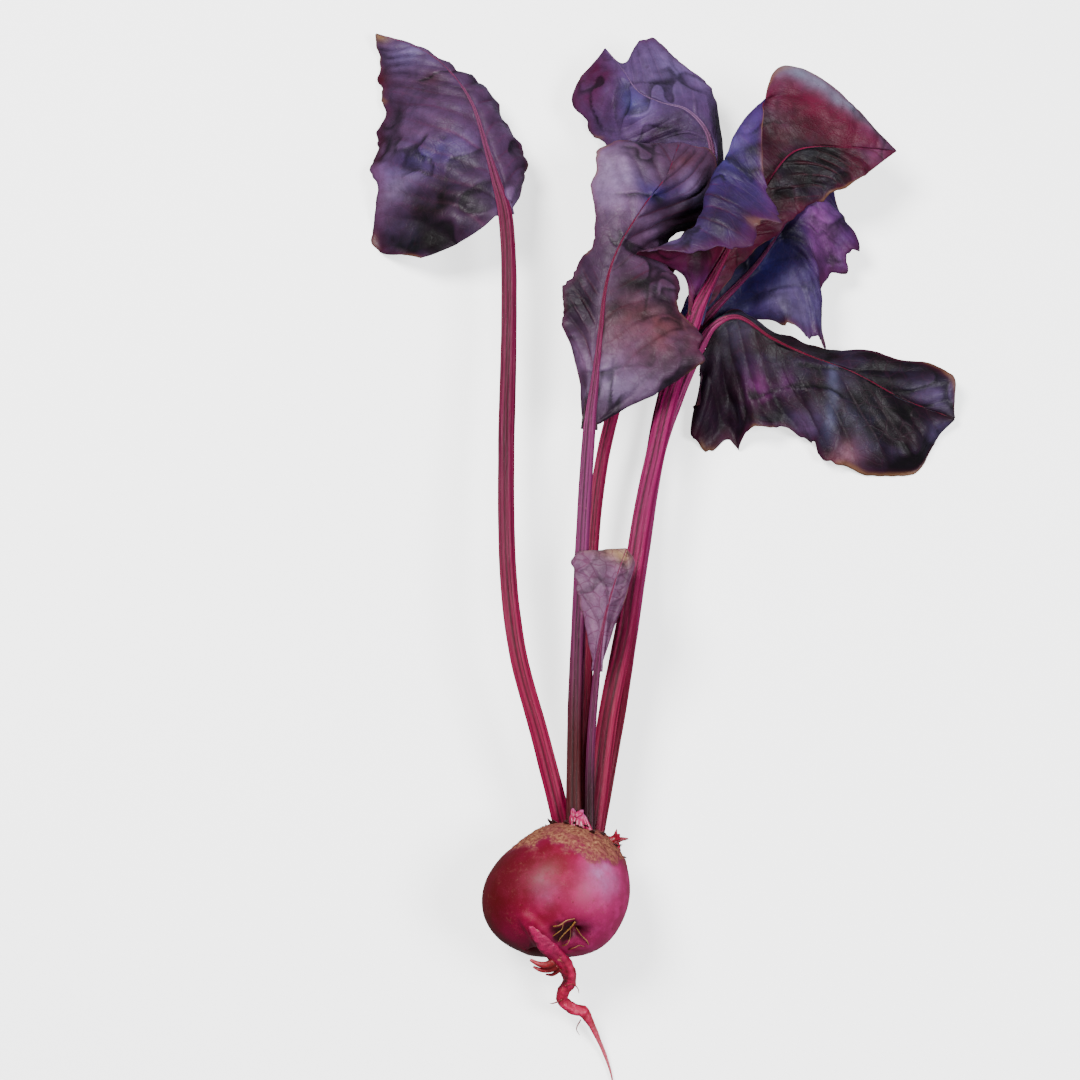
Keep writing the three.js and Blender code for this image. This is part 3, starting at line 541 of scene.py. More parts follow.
# The leaves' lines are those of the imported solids: a middle line through stalk and rib, and for each
# point of the rib one half-way out and one at the margin, left and right.
leaves = {
    "left": {
        "foot": [-7.5, 1.5],
        "stalkWidth": [9.6, 8],
        "wave": [1.2, 3.3, 0.4],
        "pucker": 1.6,
        "stalk": [[-7.5, 74, 38], [-19, 117, 41], [-24, 162, 40], [-25, 219, 36], [-24, 279, 33],
            [-24, 322, 36]],
        "rib": [[-26, 351, 37], [-31, 371, 36], [-36, 390, 34], [-43, 415, 31], [-52, 433, 26],
            [-65, 450, 19], [-81, 462, 12], [-98, 470, 7]],
        "leftMiddle": [[-48, 339, 31], [-62, 355, 31], [-65, 384, 29], [-69, 409, 26], [-72, 431, 21],
            [-79, 447, 15], [-88, 458, 10], [-98, 470, 7]],
        "leftMargin": [[-71, 334, 19], [-98, 349, -3], [-95, 374, 9], [-97, 406, 1], [-94, 431, 5],
            [-97, 447, 2], [-97, 459, 4], [-98, 470, 7]],
        "rightMiddle": [[-24, 354, 36], [-22, 369, 35], [-27, 389, 33], [-34, 413, 29], [-43, 432, 23],
            [-59, 449, 16], [-76, 460, 10], [-98, 470, 7]],
        "rightMargin": [[-21, 360, 31], [-15, 379, 22], [-17, 390, 21], [-25, 410, 18], [-35, 430, 14],
            [-54, 447, 8], [-73, 457, 6], [-98, 470, 7]],
    },
    "front": {
        "foot": [-3.5, 10.5],
        "stalkWidth": [8.2, 6.5],
        "wave": [2, 3.6, 1.2],
        "pucker": 1.2,
        "stalk": [[9.5, 83, 42], [11.5, 133, 45], [14, 184, 48]],
        "rib": [[17, 229, 51], [20, 254, 54], [23, 280, 57], [26, 304, 60], [33, 324, 63], [46, 346, 63],
            [57, 363, 59], [65, 386, 51]],
        "leftMiddle": [[15, 231, 51], [15, 257, 53], [15, 283, 54], [19, 305, 58], [27, 328, 61],
            [34, 358, 60], [44, 375, 56], [65, 386, 51]],
        "leftMargin": [[14, 232, 50], [11, 259, 50], [4, 292, 48], [9, 315, 52], [21, 331, 57],
            [19, 363, 54], [30, 384, 50], [65, 386, 51]],
        "rightMiddle": [[19, 231, 51], [43, 250, 54], [48, 278, 57], [44, 302, 57], [47, 330, 52],
            [66, 350, 48], [71, 372, 51], [65, 386, 51]],
        "rightMargin": [[22, 232, 50], [64, 256, 47], [75, 276, 49], [63, 302, 49], [59, 332, 38],
            [80, 350, 38], [83, 382, 44], [65, 386, 51]],
    },
    "top": {
        "foot": [-1.5, -6],
        "stalkWidth": [7.6, 6.5],
        "wave": [1.5, 2.8, 0],
        "pucker": 0.9,
        "stalk": [[14, 85, 28], [16, 137, 26], [21, 200, 25], [29, 243, 24], [44, 292, 23], [63, 332, 24]],
        "rib": [[77, 355, 27], [83, 379, 30], [81, 398, 34], [70, 410, 38], [56, 413, 41], [44, 420, 40],
            [36, 435, 35], [27, 452, 26]],
        "leftMiddle": [[74, 357, 27], [71, 381, 30], [66, 392, 33], [56, 396, 36], [45, 400, 38],
            [35, 410, 36], [27, 431, 30], [27, 452, 26]],
        "leftMargin": [[71, 359, 26], [60, 380, 26], [50, 383, 28], [40, 386, 29], [29, 391, 28],
            [18, 408, 20], [11, 433, 16], [27, 452, 26]],
        "rightMiddle": [[80, 357, 27], [86, 381, 29], [85, 401, 32], [77, 419, 34], [61, 430, 36],
            [47, 437, 36], [36, 438, 33], [27, 452, 26]],
        "rightMargin": [[82, 359, 26], [90, 384, 24], [88, 407, 24], [80, 431, 24], [64, 447, 26],
            [49, 456, 28], [37, 441, 31], [27, 452, 26]],
    },
    "upper_right": {
        "foot": [6, 4.5],
        "stalkWidth": [10.5, 9],
        "wave": [2, 3.1, 2.2],
        "pucker": 0.9,
        "stalk": [[25.5, 83, 38], [35.5, 134, 38], [43.5, 186, 37], [52.5, 228, 36], [61, 261, 35]],
        "rib": [[71, 292, 36], [78, 308, 38], [87, 325, 40], [97, 343, 43], [108, 361, 46], [125, 382, 48],
            [152, 386, 44], [181, 389, 33]],
        "leftMiddle": [[70, 293, 37], [72, 310, 42], [69, 328, 56], [76, 342, 61], [83, 367, 61],
            [102, 399, 60], [137, 405, 54], [181, 389, 33]],
        "leftMargin": [[69, 293, 38], [66, 313, 44], [43, 321, 66], [88, 317, 70], [111, 338, 68],
            [106, 369, 66], [120, 426, 58], [181, 389, 33]],
        "rightMiddle": [[73, 293, 36], [81, 308, 37], [91, 324, 39], [104, 340, 41], [118, 356, 42],
            [139, 374, 42], [158, 381, 40], [181, 389, 33]],
        "rightMargin": [[75, 294, 35], [85, 308, 35], [96, 323, 36], [112, 337, 36], [128, 353, 36],
            [147, 364, 35], [161, 373, 36], [181, 389, 33]],
    },
    "right": {
        "foot": [8.2, -4],
        "stalkWidth": [8, 6.5],
        "wave": [2, 3.7, 0.8],
        "pucker": 1.2,
        "stalk": [[30, 83, 24], [37, 130, 19], [43, 182, 17], [50, 225, 14], [56, 256, 12]],
        "rib": [[64, 281, 13], [84, 306, 17], [104, 326, 24], [115, 340, 29], [124, 353, 32],
            [133, 364, 32], [140, 374, 28], [146, 377, 24]],
        "leftMiddle": [[61, 283, 13], [78, 316, 17], [94, 339, 23], [105, 351, 27], [116, 362, 30],
            [127, 371, 30], [136, 377, 27], [146, 377, 24]],
        "leftMargin": [[58, 285, 12], [73, 321, 15], [86, 348, 20], [98, 362, 23], [110, 372, 26],
            [122, 380, 26], [133, 384, 25], [146, 377, 24]],
        "rightMiddle": [[68, 281, 12], [96, 303, 16], [116, 314, 26], [130, 324, 31], [134, 339, 33],
            [140, 354, 32], [144, 367, 28], [146, 377, 24]],
        "rightMargin": [[71, 281, 11], [105, 301, 14], [125, 291, 31], [139, 288, 27], [138, 313, 21],
            [159, 335, 16], [153, 359, 20], [146, 377, 24]],
    },
    "low": {
        "foot": [7, -12],
        "stalkWidth": [7, 6],
        "wave": [2.5, 4.3, 1.9],
        "pucker": 1.1,
        "stalk": [[30, 80, 13], [38, 128, 8], [46, 180, 5], [54, 228, 5], [64, 258, 10]],
        "rib": [[76, 284, 22], [84, 294, 27], [96, 297, 29], [113, 287, 25], [134, 279, 19],
            [157, 271, 16], [182, 258, 12], [210, 249, 6]],
        "leftMiddle": [[76, 286, 21], [85, 297, 24], [98, 300, 26], [115, 289, 23], [137, 283, 16],
            [164, 277, 15], [188, 265, 14], [210, 249, 6]],
        "leftMargin": [[76, 288, 20], [86, 300, 22], [99, 303, 23], [117, 291, 20], [141, 288, 12],
            [171, 282, 13], [204, 276, 11], [210, 249, 6]],
        "rightMiddle": [[76, 277, 20], [82, 272, 18], [91, 269, 15], [110, 262, 17], [131, 256, 18],
            [156, 246, 12], [183, 237, 12], [210, 249, 6]],
        "rightMargin": [[77, 269, 17], [72, 239, 5], [91, 236, -2], [109, 242, 14], [134, 238, 4],
            [147, 223, 8], [185, 222, -3], [210, 249, 6]],
    },
    "young": {
        "foot": [4, 13.2],
        "stalkWidth": [5, 3.6],
        "wave": [0.8, 3, 0.3],
        "pucker": 0.5,
        "stalk": [[17, 68, 49]],
        "rib": [[20, 104, 54], [22, 119, 57], [24.5, 132, 59], [28, 144, 61], [31.5, 155, 61],
            [35, 165, 59]],
        "leftMiddle": [[19.5, 106, 54], [18.5, 122, 58], [18.5, 136, 60], [19.5, 149, 61], [22, 160, 60],
            [35, 165, 59]],
        "leftMargin": [[18.5, 107, 53], [15, 123, 56], [11.5, 139, 57], [8.5, 153, 57], [11, 164, 55],
            [35, 165, 59]],
        "rightMiddle": [[21.5, 105, 53], [26, 120, 56], [30, 132, 58], [33.5, 144, 60], [36, 155, 59],
            [35, 165, 58]],
        "rightMargin": [[22.5, 107, 53], [27, 121, 60], [31, 133, 64], [35.5, 145, 65], [38.5, 157, 63],
            [35, 165, 59]],
    },
}
shape = {
    "stalkSink": 7, "stalkFlatness": 0.74, "stalkEnd": 0.992, "ribTip": 0.35, "ribTaper": 3.4,
    "bladeEnd": 0.997, "bladeThickness": 0.42, "seat": 0.25, "veinRise": 0.26,
    "foldSizes": ((19, 45), (10, 46)), "foldRise": 0.05,  # each size with the seed of its noise
    "floorGap": 0.36, "floorSoftness": 0.5, "toothDepth": 0.05, "toothCount": 9,
    "puckerLength": 15, "veinSlant": 0.9, "fullWaveReach": 20, "sideShift": 1.7,
}


# How each leaf looks: how fine its grid is, the colour of the side with the midrib and of the other
# side, of its veins and midrib, and of the stalk's foot and middle; how dark the painted shade of its folds
# is, how far its margin crimps, and how deep its teeth are. Spots of colour lie at (t, s) with their
# half-sizes and amount, where t runs from the blade's start to its tip and s from -1 at the left margin to 1
# at the right.
# Their colours are partly the leaf's own and partly painted light: the black spots are painted shadow where
# a fold turns away or a neighbour lies over the blade, and the pale spots are partly painted highlight and
# sheen.
leafLight = 2.1  # the light's level on the leaves, for paint
spotTones = {
    "black": "#080406", "aubergine": "#281a2a", "plum": "#503c58", "maroon": "#541a40", "wine": "#520e1e",
    "umber": "#583840", "rust": "#80545c", "orchid": "#703c6c", "lilac": "#94609a", "indigo": "#403c78",
    "slate": "#525088", "pewter": "#5a5c74", "steel": "#9094aa", "dusk": "#70648a", "mauve": "#8c7a98",
    "tan": "#9a7a54", "straw": "#c4a484",
}
leafLooks = {
    "left": {
        "rows": 230, "columns": 58, "face": "#57415c", "back": "#3a1228", "vein": "#6e3556", "rib": "#8a5474",
        "stalk": ("#961c50", "#721a44"), "shade": 0.8, "crimp": 1.0, "teeth": 0.35, "spots": [
            (0.78, -0.4, 0.1, 0.5, "dusk", 0.75),
            (0.3, -0.65, 0.05, 0.3, "indigo", 0.7),
            (0.27, -0.88, 0.04, 0.2, "mauve", 0.7),
            (0.17, -0.6, 0.07, 0.26, "black", 0.97),
            (0.07, -0.85, 0.08, 0.35, "black", 0.97),
            (0.04, -0.4, 0.06, 0.3, "aubergine", 0.7),
            (0.6, -0.45, 0.04, 0.15, "umber", 0.6),
            (0.47, -0.1, 0.04, 0.12, "umber", 0.6),
            (0.7, -1, 0.07, 0.14, "wine", 0.9),
            (0.97, -0.1, 0.035, 1.0, "tan", 0.85),
            (0.5, 0.8, 0.2, 0.4, "plum", 0.5),
        ],
    },
    "front": {
        "rows": 250, "columns": 54, "face": "#5d475f", "back": "#4a2030", "vein": "#5c1c34", "rib": "#7c2c48",
        "stalk": ("#4c001c", "#84406a"), "shade": 0.9, "crimp": 0.8, "teeth": 0.9, "spots": [
            (0.74, -0.75, 0.1, 0.45, "mauve", 0.85),
            (0.76, 0.05, 0.045, 0.45, "indigo", 0.85),
            # painted shadow over the upper right half, which folds away downward
            (0.71, 0.85, 0.1, 0.5, "black", 0.97),
            (0.9, 0.4, 0.035, 0.35, "umber", 0.85),
            (0.32, 0.6, 0.1, 0.5, "rust", 0.85),
            (0.44, 0.55, 0.035, 0.22, "black", 0.9),
            (0.36, 0.3, 0.045, 0.14, "black", 0.9),
            (0.29, 0.1, 0.035, 0.1, "black", 0.9),
            (0.38, -0.85, 0.13, 0.6, "aubergine", 1.0),
            (0.14, 0.2, 0.06, 0.5, "mauve", 0.7),
        ],
    },
    "top": {
        "rows": 220, "columns": 46, "face": "#5f4c72", "back": "#3f1534", "vein": "#8a6f98", "rib": "#93789c",
        "stalk": ("#840640", "#941c56"), "shade": 0.7, "crimp": 0.6, "teeth": 0.6, "spots": [
            (0.88, -0.75, 0.13, 0.4, "maroon", 0.95),
            (0.7, -0.35, 0.1, 0.22, "slate", 0.8),
            (0.6, 0.5, 0.15, 0.4, "dusk", 0.7),
            (0.45, -0.5, 0.1, 0.3, "aubergine", 0.8),
        ],
    },
    "upper_right": {
        "rows": 260, "columns": 56, "face": "#6a0c3a", "back": "#4a3a70", "vein": "#6a1836", "rib": "#86244c",
        "stalk": ("#940c4c", "#942c62"), "shade": 0.9, "crimp": 0.8, "teeth": 0.7, "spots": [
            # painted shadow over the right half, which folds away
            (0.72, 0.45, 0.2, 0.75, "black", 1.3),
            (0.87, -1.0, 0.04, 0.13, "steel", 0.9),
            (0.92, -0.85, 0.04, 0.16, "steel", 0.9),
            (0.98, -0.4, 0.02, 0.5, "pewter", 0.8),
            (0.68, -0.7, 0.06, 0.2, "maroon", 0.8),
            (0.16, -0.4, 0.08, 0.8, "orchid", 0.8),
        ],
        "backSpots": [
            (0.27, -0.6, 0.1, 0.6, "mauve", 0.92),
            (0.48, -0.9, 0.08, 0.3, "aubergine", 0.8),
            (0.62, -0.5, 0.05, 0.3, "slate", 0.7),
        ],
    },
    "right": {
        "rows": 220, "columns": 52, "face": "#2e2858", "back": "#4a2648", "vein": "#241834", "rib": "#58244a",
        "stalk": ("#80083e", "#841c54"), "shade": 0.7, "crimp": 1.2, "teeth": 1.5, "spots": [
            (0.68, -0.2, 0.08, 0.4, "slate", 0.85),
            (0.66, 0.72, 0.13, 0.36, "lilac", 0.97),
            (0.55, 0.98, 0.06, 0.2, "maroon", 0.85),
            (0.32, 0.82, 0.1, 0.25, "dusk", 0.85),
            (0.3, -0.5, 0.14, 0.4, "black", 0.92),
            (0.32, 0.3, 0.04, 0.2, "indigo", 0.8),
            (0.5, 0.3, 0.06, 0.3, "black", 0.85),
        ],
    },
    "low": {
        "rows": 240, "columns": 56, "face": "#120d13", "back": "#2c1222", "vein": "#3a1a2c", "rib": "#7c1f40",
        "stalk": ("#9c2460", "#a8507c"), "shade": 1.1, "crimp": 1.1, "teeth": 0.8, "spots": [
            (0.2, 0.85, 0.15, 0.35, "aubergine", 0.9),
            (0.4, 0.6, 0.05, 0.14, "orchid", 0.9),
            (0.5, 0.5, 0.03, 0.12, "orchid", 0.85),
            (0.57, 0.85, 0.05, 0.15, "plum", 0.75),
            (0.645, 0.35, 0.018, 0.4, "pewter", 0.85),
            (0.705, 0.5, 0.035, 0.5, "black", 0.97),
            (0.92, -0.75, 0.05, 0.35, "dusk", 0.8),
            (0.72, 0.95, 0.04, 0.15, "rust", 0.8),
            (0.95, 0.8, 0.04, 0.3, "dusk", 0.7),
        ],
    },
    "young": {
        "rows": 120, "columns": 34, "face": "#94708c", "back": "#7c5470", "vein": "#501838", "rib": "#8a3c5c",
        "stalk": ("#30041c", "#6c3052"), "shade": 0.5, "crimp": 0.35, "teeth": 0.5,
        "spots": [(0.92, 0, 0.1, 1.2, "straw", 0.95)],
    },
}


def middleLine(leaf):
    return [crownPoint(*leaf["foot"], -shape["stalkSink"]), *leaf["stalk"], *leaf["rib"]]


def bladeStart(leaf):  # the share of the middle line at which the blade starts
    return (len(leaf["stalk"]) + 1) / (len(leaf["stalk"]) + len(leaf["rib"]))


def stalkHalf(leaf, share, tip=shape["ribTip"]):
    # Half the stalk's width: a small flare at the crown, straight to the blade, and then a power of what
    # is left of the line, down to the tip's.
    low, high = leaf["stalkWidth"]
    start = bladeStart(leaf)
    stalk = (1 + 0.1 * np.exp(-share / 0.03)) * (low + (high - low) * share / start) / 2
    rib = tip + (high / 2 - tip) * np.clip(1 - (share - start) / (1 - start), 0, 1) ** shape["ribTaper"]
    return np.where(share < start, stalk, rib)


def clearOfStalks(name, points):
    # A point too near a stalk's middle line is pushed straight out from it.
    low, high = points.reshape(-1, 3).min(0) - 8, points.reshape(-1, 3).max(0) + 8
    for other, leaf in leaves.items():
        last = bladeStart(leaf) - 0.04 if other == name else shape["stalkEnd"]
        share = np.linspace(0, last, int(22 * (len(leaf["stalk"]) + len(leaf["rib"])) * last))
        beads = smoothLine(middleLine(leaf), share)
        wanted = 1.15 * stalkHalf(leaf, share, 0.7) + 0.9
        near = np.all((beads > low) & (beads < high), axis=1)
        for bead, reach in zip(beads[near], wanted[near]):
            away = points - bead
            distance = np.linalg.norm(away, axis=-1, keepdims=True)
            points = np.where(distance < reach, bead + away * (reach / np.maximum(distance, 1e-6)), points)
    return points


def settle(z, gap):  # eases off to the floor as (a + sqrt(a^2 + 4 softness^2)) / 2 over the gap
    above = z - gap
    return gap + (above + np.sqrt(above ** 2 + 4 * shape["floorSoftness"] ** 2)) / 2


def makeBlade(name):
    # Each half is a flat strip beside the midrib and then the parabola through its middle and margin
    # lines. The margin swings in and out as teeth, fine and coarse. Along the surface's normals come
    # ruffles that grow outwards, bulges |sin| between the side veins, raised veins, broad swells, and
    # folds that step up where a noise crosses 0 and ease off above that. Painted shade is laid below the
    # folds' steps, in hollows and along the veins' valleys, and raised parts carry a painted highlight.
    leaf, look = leaves[name], leafLooks[name]
    rows, half = look["rows"], look["columns"]
    t = np.linspace(0, shape["bladeEnd"], rows)[:, None]
    s = np.linspace(-1, 1, 2 * half + 1)[None, :]
    edge = np.abs(s)
    sideNumber = np.where(s > 0, 1, 0)
    start = bladeStart(leaf)
    share = start + (1 - start) * t[:, 0]
    centre, side, over = lineFrames(middleLine(leaf), share)
    width = stalkHalf(leaf, share)
    under = centre - over * (width * shape["stalkFlatness"] * shape["seat"])[:, None]
    strip = (width + 1 - t[:, 0])[:, None, None] * np.sign(s)[..., None]
    beside = under[:, None] + side[:, None] * strip
    spans = np.linalg.norm(np.diff(np.array(leaf["rib"], float), axis=0), axis=1)
    along = t * spans.sum()
    lane = np.stack(np.broadcast_arrays(along, 60.0 * sideNumber + 7, 0.0), -1)
    shift = shape["sideShift"] * sideNumber
    tooth = np.sin(2 * math.pi * shape["toothCount"] * t + shift) * np.sin(math.pi * t)
    tooth = tooth * min(1, look["teeth"])
    q = np.clip(edge * 5 - 1, 0, None) / 4 * (1 + shape["toothDepth"] * tooth)
    jag = noiseSum(lane, (0.035, 4.2, 31), (0.02, 1.7, 32))
    q = (q + q ** 5 * jag * look["teeth"] * np.sin(math.pi * t))[..., None]
    onRight = (s > 0)[..., None]
    middle = np.where(onRight, smoothLine(leaf["rightMiddle"], t), smoothLine(leaf["leftMiddle"], t))
    margin = np.where(onRight, smoothLine(leaf["rightMargin"], t), smoothLine(leaf["leftMargin"], t))
    lamina = beside * 2 * (q - 0.5) * (q - 1) + middle * 4 * q * (1 - q) + margin * 2 * q * (q - 0.5)
    inner = np.clip(edge * 5, 0, 1)[..., None]
    grid = np.where(inner < 1, under[:, None] + (beside - under[:, None]) * inner, lamina)

    reach = np.linalg.norm(np.where(onRight, grid[:, -1:], grid[:, :1]) - grid[:, half:half + 1], axis=-1)
    body = np.minimum(1, reach / shape["fullWaveReach"])
    height, waves, phase = leaf["wave"]
    wave = height * edge ** 1.5 * np.sin(2 * math.pi * waves * t + phase + shift)
    wander = 0.1 * softNoise(grid, 17, 33) * inner[..., 0]
    vein = (along - shape["veinSlant"] * edge * reach) / shape["puckerLength"] + wander
    bulge = leaf["pucker"] * 2 * (np.abs(np.sin(math.pi * vein)) - 0.5) * np.minimum(1, 2 * edge)
    bulge = bulge * smoothStep(1.05, 0.75, edge) * (0.5 + 0.45 * softNoise(grid, 26, 39))

    def fromLine(place):  # millimetres to the nearest of the slanting lines at whole numbers
        return np.abs(place - np.round(place)) * shape["puckerLength"] * 0.75

    veinMark = hill(fromLine(vein), 0.28 + 0.75 * (1 - edge) ** 1.5) * smoothStep(1.02, 0.7, edge)
    forkMark = hill(fromLine(vein + 0.5 - 0.06 * np.sin(edge * 9)), 0.34)
    forkMark = forkMark * smoothStep(0.3, 0.55, edge) * smoothStep(1.02, 0.8, edge)
    veinLane = np.stack(np.broadcast_arrays(np.round(vein) * 9, 60.0 * sideNumber, 9 * edge), -1)
    seen = smoothStep(-0.35, 0.5, softNoise(veinLane, 7, 47))
    veins = np.maximum(veinMark, 0.6 * forkMark) * smoothStep(1.5, 5, reach) * (0.12 + 0.88 * seen)
    crimp = look["crimp"] * edge ** 3 * noiseSum(lane, (1, 6.5, 34), (0.4, 2.9, 35))
    broad = noiseSum(grid, (1.7, 24, 43), (0.8, 12, 44))
    small = broad + noiseSum(grid, (0.22, 6, 36), (0.08, 3, 37), (0.03, 1.3, 38))
    small = small * smoothStep(0.05, 0.3, edge) * (1 - 0.8 * veins)
    turned = grid + 5 * threeNoises(grid, 20, 50)
    # painted shadow below the step of each fold
    cast = 0
    for size, seed in shape["foldSizes"]:
        level = softNoise(turned, size, seed)
        present = smoothStep(-0.1, 0.45, softNoise(grid, 23, seed + 10)) * smoothStep(0.04, 0.2, edge)
        step = smoothStep(-0.05, 0.05, level) * smoothStep(0.7, 0.0, level)
        small = small + size * shape["foldRise"] * present * step
        cast = cast + present * smoothStep(-0.5, -0.02, level) * smoothStep(0.03, -0.03, level)
    lift = body * (wave + bulge + crimp) + small * body + shape["veinRise"] * veins
    grid = clearOfStalks(name, grid + gridNormals(grid) * lift[..., None])
    grid[..., 2] = settle(grid[..., 2], shape["floorGap"])

    thin = shape["bladeThickness"] / 2 * (1 - 0.55 * edge ** 8) * np.ones_like(t)
    thin = gridNormals(grid) * thin[..., None]
    points = np.vstack([(grid + thin).reshape(-1, 3), (grid - thin).reshape(-1, 3)])
    points[:, 2] = np.maximum(points[:, 2], floorFloat)

    tones = []
    clouds = 1 + noiseSum(grid, (0.35, 9, 40), (0.25, 4, 48))
    for base, spots in ((look["face"], look["spots"]), (look["back"], look.get("backSpots", []))):
        tone = np.broadcast_to(paint(base, leafLight), grid.shape)
        for atT, atS, sizeT, sizeS, colour, amount in spots:
            patch = amount * hill(t - atT, sizeT) * hill(s - atS, sizeS) * clouds
            tone = blend(tone, paint(spotTones[colour], leafLight), np.clip(patch, 0, 1))
        tones.append(tone.reshape(-1, 3))
    # painted shade in low hollows and along the veins' valleys
    hollow = smoothStep(0.2, -1.4, broad + 0.6 * bulge) + 0.5 * hill(fromLine(vein), 1.1) * seen
    dry = smoothStep(0.955, 1.0, edge + 0.03 * softNoise(lane, 5, 41))
    dry = dry * smoothStep(-0.1, 0.5, softNoise(lane, 11, 42))
    marks = {
        "veins": veins,
        "dry": dry,
        # painted shade from folds, hollows and vein valleys
        "shade": np.clip(look["shade"] * (1.1 * cast + 0.5 * hollow + 0.2 * softNoise(grid, 5, 49)), 0, 0.96),
        # painted highlight on raised parts
        "ridge": smoothStep(0.3, 1.6, broad + 0.5 * bulge),
        "margin": smoothStep(0.9, 1, edge + 0 * t),
    }
    marks = {key: np.tile(value.reshape(-1), 2) for key, value in marks.items()}
    marks["tone"] = np.vstack(tones)
    marks["veinTone"] = np.broadcast_to(paint(look["vein"]), points.shape)
    flat = np.stack([np.sign(s) * edge * reach, along + 0 * s], -1).reshape(-1, 2)
    faces = sheetFaces(rows, 2 * half + 1)
    return makeMesh("blade_" + name + "_leaf", points, faces, marks=marks, flat=np.tile(flat, (2, 1)))


stalk = {
    "rows": 210, "sides": 48, "firstShare": 0.004,
    "ridges": 5, "grooveDepth": 0.13, "channelDepth": 0.2, "channelTurn": 1.75, "channelWidth": 0.34,
}


def makeStalk(name):
    # Rings along the middle line. The radius is 1 less the grooves (1 - |sin|) between its ridges and
    # one wider channel along its upper side; the whole is flattened to three quarters of its width.
    leaf, look = leaves[name], leafLooks[name]
    rows, sides = stalk["rows"], stalk["sides"]
    share = np.linspace(stalk["firstShare"], shape["stalkEnd"], rows)
    centre, side, over = lineFrames(middleLine(leaf), share)
    width = stalkHalf(leaf, share)[:, None]
    a = wholeTurn(sides)
    seed = len(name) + 3 * len(leaf["stalk"])
    lane = np.stack([share * 400, 0 * share + seed, 0 * share], -1)
    swing = noiseSum(lane, (0.22, 60, seed), (0.08, 14, seed + 1))[:, None]
    bent = a + 0.16 * np.sin(2 * a + seed) + swing
    crest = np.abs(np.sin(stalk["ridges"] * bent))
    fine = np.abs(np.sin(stalk["ridges"] * 2.0 * bent + 0.7))
    fromChannel = (a - stalk["channelTurn"] - swing + math.pi) % (2 * math.pi) - math.pi
    channel = hill(fromChannel, stalk["channelWidth"])
    radius = 1 - stalk["grooveDepth"] * (1 - crest) ** 1.6 - 0.025 * (1 - fine) ** 2
    roundLane = np.stack(np.broadcast_arrays(share[:, None] * 300, a * 3, 0.0), -1)
    radius = radius - stalk["channelDepth"] * channel + 0.022 * softNoise(roundLane, 5, seed)
    r = width * radius
    rings = ringPoints(centre, side, over, r * np.cos(a), r * np.sin(a) * shape["stalkFlatness"])
    rings[..., 2] = np.maximum(rings[..., 2], floorFloat)
    start = bladeStart(leaf)
    tone = blend(paint(look["stalk"][0]), paint(look["stalk"][1]), smoothStep(0.15, 0.6, share / start))
    tone = blend(tone, paint(look["rib"]), smoothStep(start - 0.06, start + 0.5 * (1 - start), share))
    marks = {
        # the ridge and channel marks place a painted highlight on the crests and painted shade in the grooves
        # and the channel
        "ridge": np.clip(crest - 0.5 * channel, 0, 1),
        "channel": channel,
        "foot": np.exp(-share / 0.012)[:, None] + 0 * a,
    }
    marks = {key: tubeMark(value, [0.5, 0.5]) for key, value in marks.items()}
    marks["tone"] = np.vstack([np.repeat(tone, sides, axis=0), tone[:1], tone[-1:]])
    length = np.linalg.norm(np.diff(centre, axis=0), axis=1)
    along = np.concatenate([[0], np.cumsum(length)])[:, None]
    flat = np.stack(np.broadcast_arrays(width[:1] * np.minimum(a, 2 * math.pi - a), along), -1).reshape(-1, 2)
    return makeTube("stalk_" + name + "_ribbed", rings, marks, np.vstack([flat, flat[:1], flat[-1:]]))


bud = {
    # across, over, rise, length, width, thickness, lean across, lean over
    "leaflets": [
        (-2.5, 18.2, -4.2, 12, 6.6, 4.8, -0.25, 0.0),
        (-5.8, 17.4, -4.2, 10, 5.6, 4.0, -0.35, 0.0),
        (1.4, 18.6, -4.2, 9, 5.0, 3.7, -0.95, 0.0),
        (-4.6, 19.2, -0.6, 5.4, 4.0, 3.4, 0.3, -0.1),
        (-7.6, 17.8, -1.4, 4.8, 3.6, 3.2, -0.4, 0.0),
    ],
    "sides": 40, "rings": 36, "foldDepth": 0.3,
}


def makeBud():
    # Each folded leaflet is a bent drop: rings whose width is sin(pi v)^0.6 of the leaflet's and thins
    # towards the top, pinched along the middle by a fold.
    v = np.linspace(0.02, 0.98, bud["rings"])[:, None]
    a = wholeTurn(bud["sides"])
    swell = np.sin(math.pi * v) ** 0.6 * (1 - 0.3 * v)
    swell = swell * (1 - bud["foldDepth"] * hill(np.sin(a / 2 - math.pi / 4) * 2, 0.3))
    tubes, tips = [], []
    for across, over, rise, length, width, thickness, leanAcross, leanOver in bud["leaflets"]:
        h = (v - 0.5) * length
        x = width / 2 * swell * np.cos(a) + h * leanAcross
        z = thickness / 2 * swell * np.sin(a) + h * leanOver
        p = crownPoint(across, over, rise) + rootOffset(x, z, h)
        lumps = noiseSum(p, (0.28, 2.4, 51), (0.12, 1.1, 52))
        p = p + unit(p - p.mean((0, 1))) * lumps[..., None]
        tubes.append(p)
        tips.append(tubeMark(smoothStep(0.6, 0.9, v + 0.12 * softNoise(p, 2, 53)), [0, 1]))
    return makeTubes("budLeaflets", tubes, "tip", tips)


stub = {
    "foot": (12, 10, -4.5), "sides": 64, "rows": 60, "shredReach": 3, "lumps": 0.18,
    # along, radius, and how far the four shreds reach out there
    "rings": [(-1.5, 2.5, 0), (1, 2.4, 0), (2.8, 2.2, 0), (4, 2.5, 0.1), (4.7, 3.1, 0.28), (5.2, 4, 0.46),
        (5.7, 3, 0.3), (6.3, 1.8, 0.08), (7.6, 1.2, 0), (9.8, 0.7, 0), (11.4, 0.3, 0)],
}


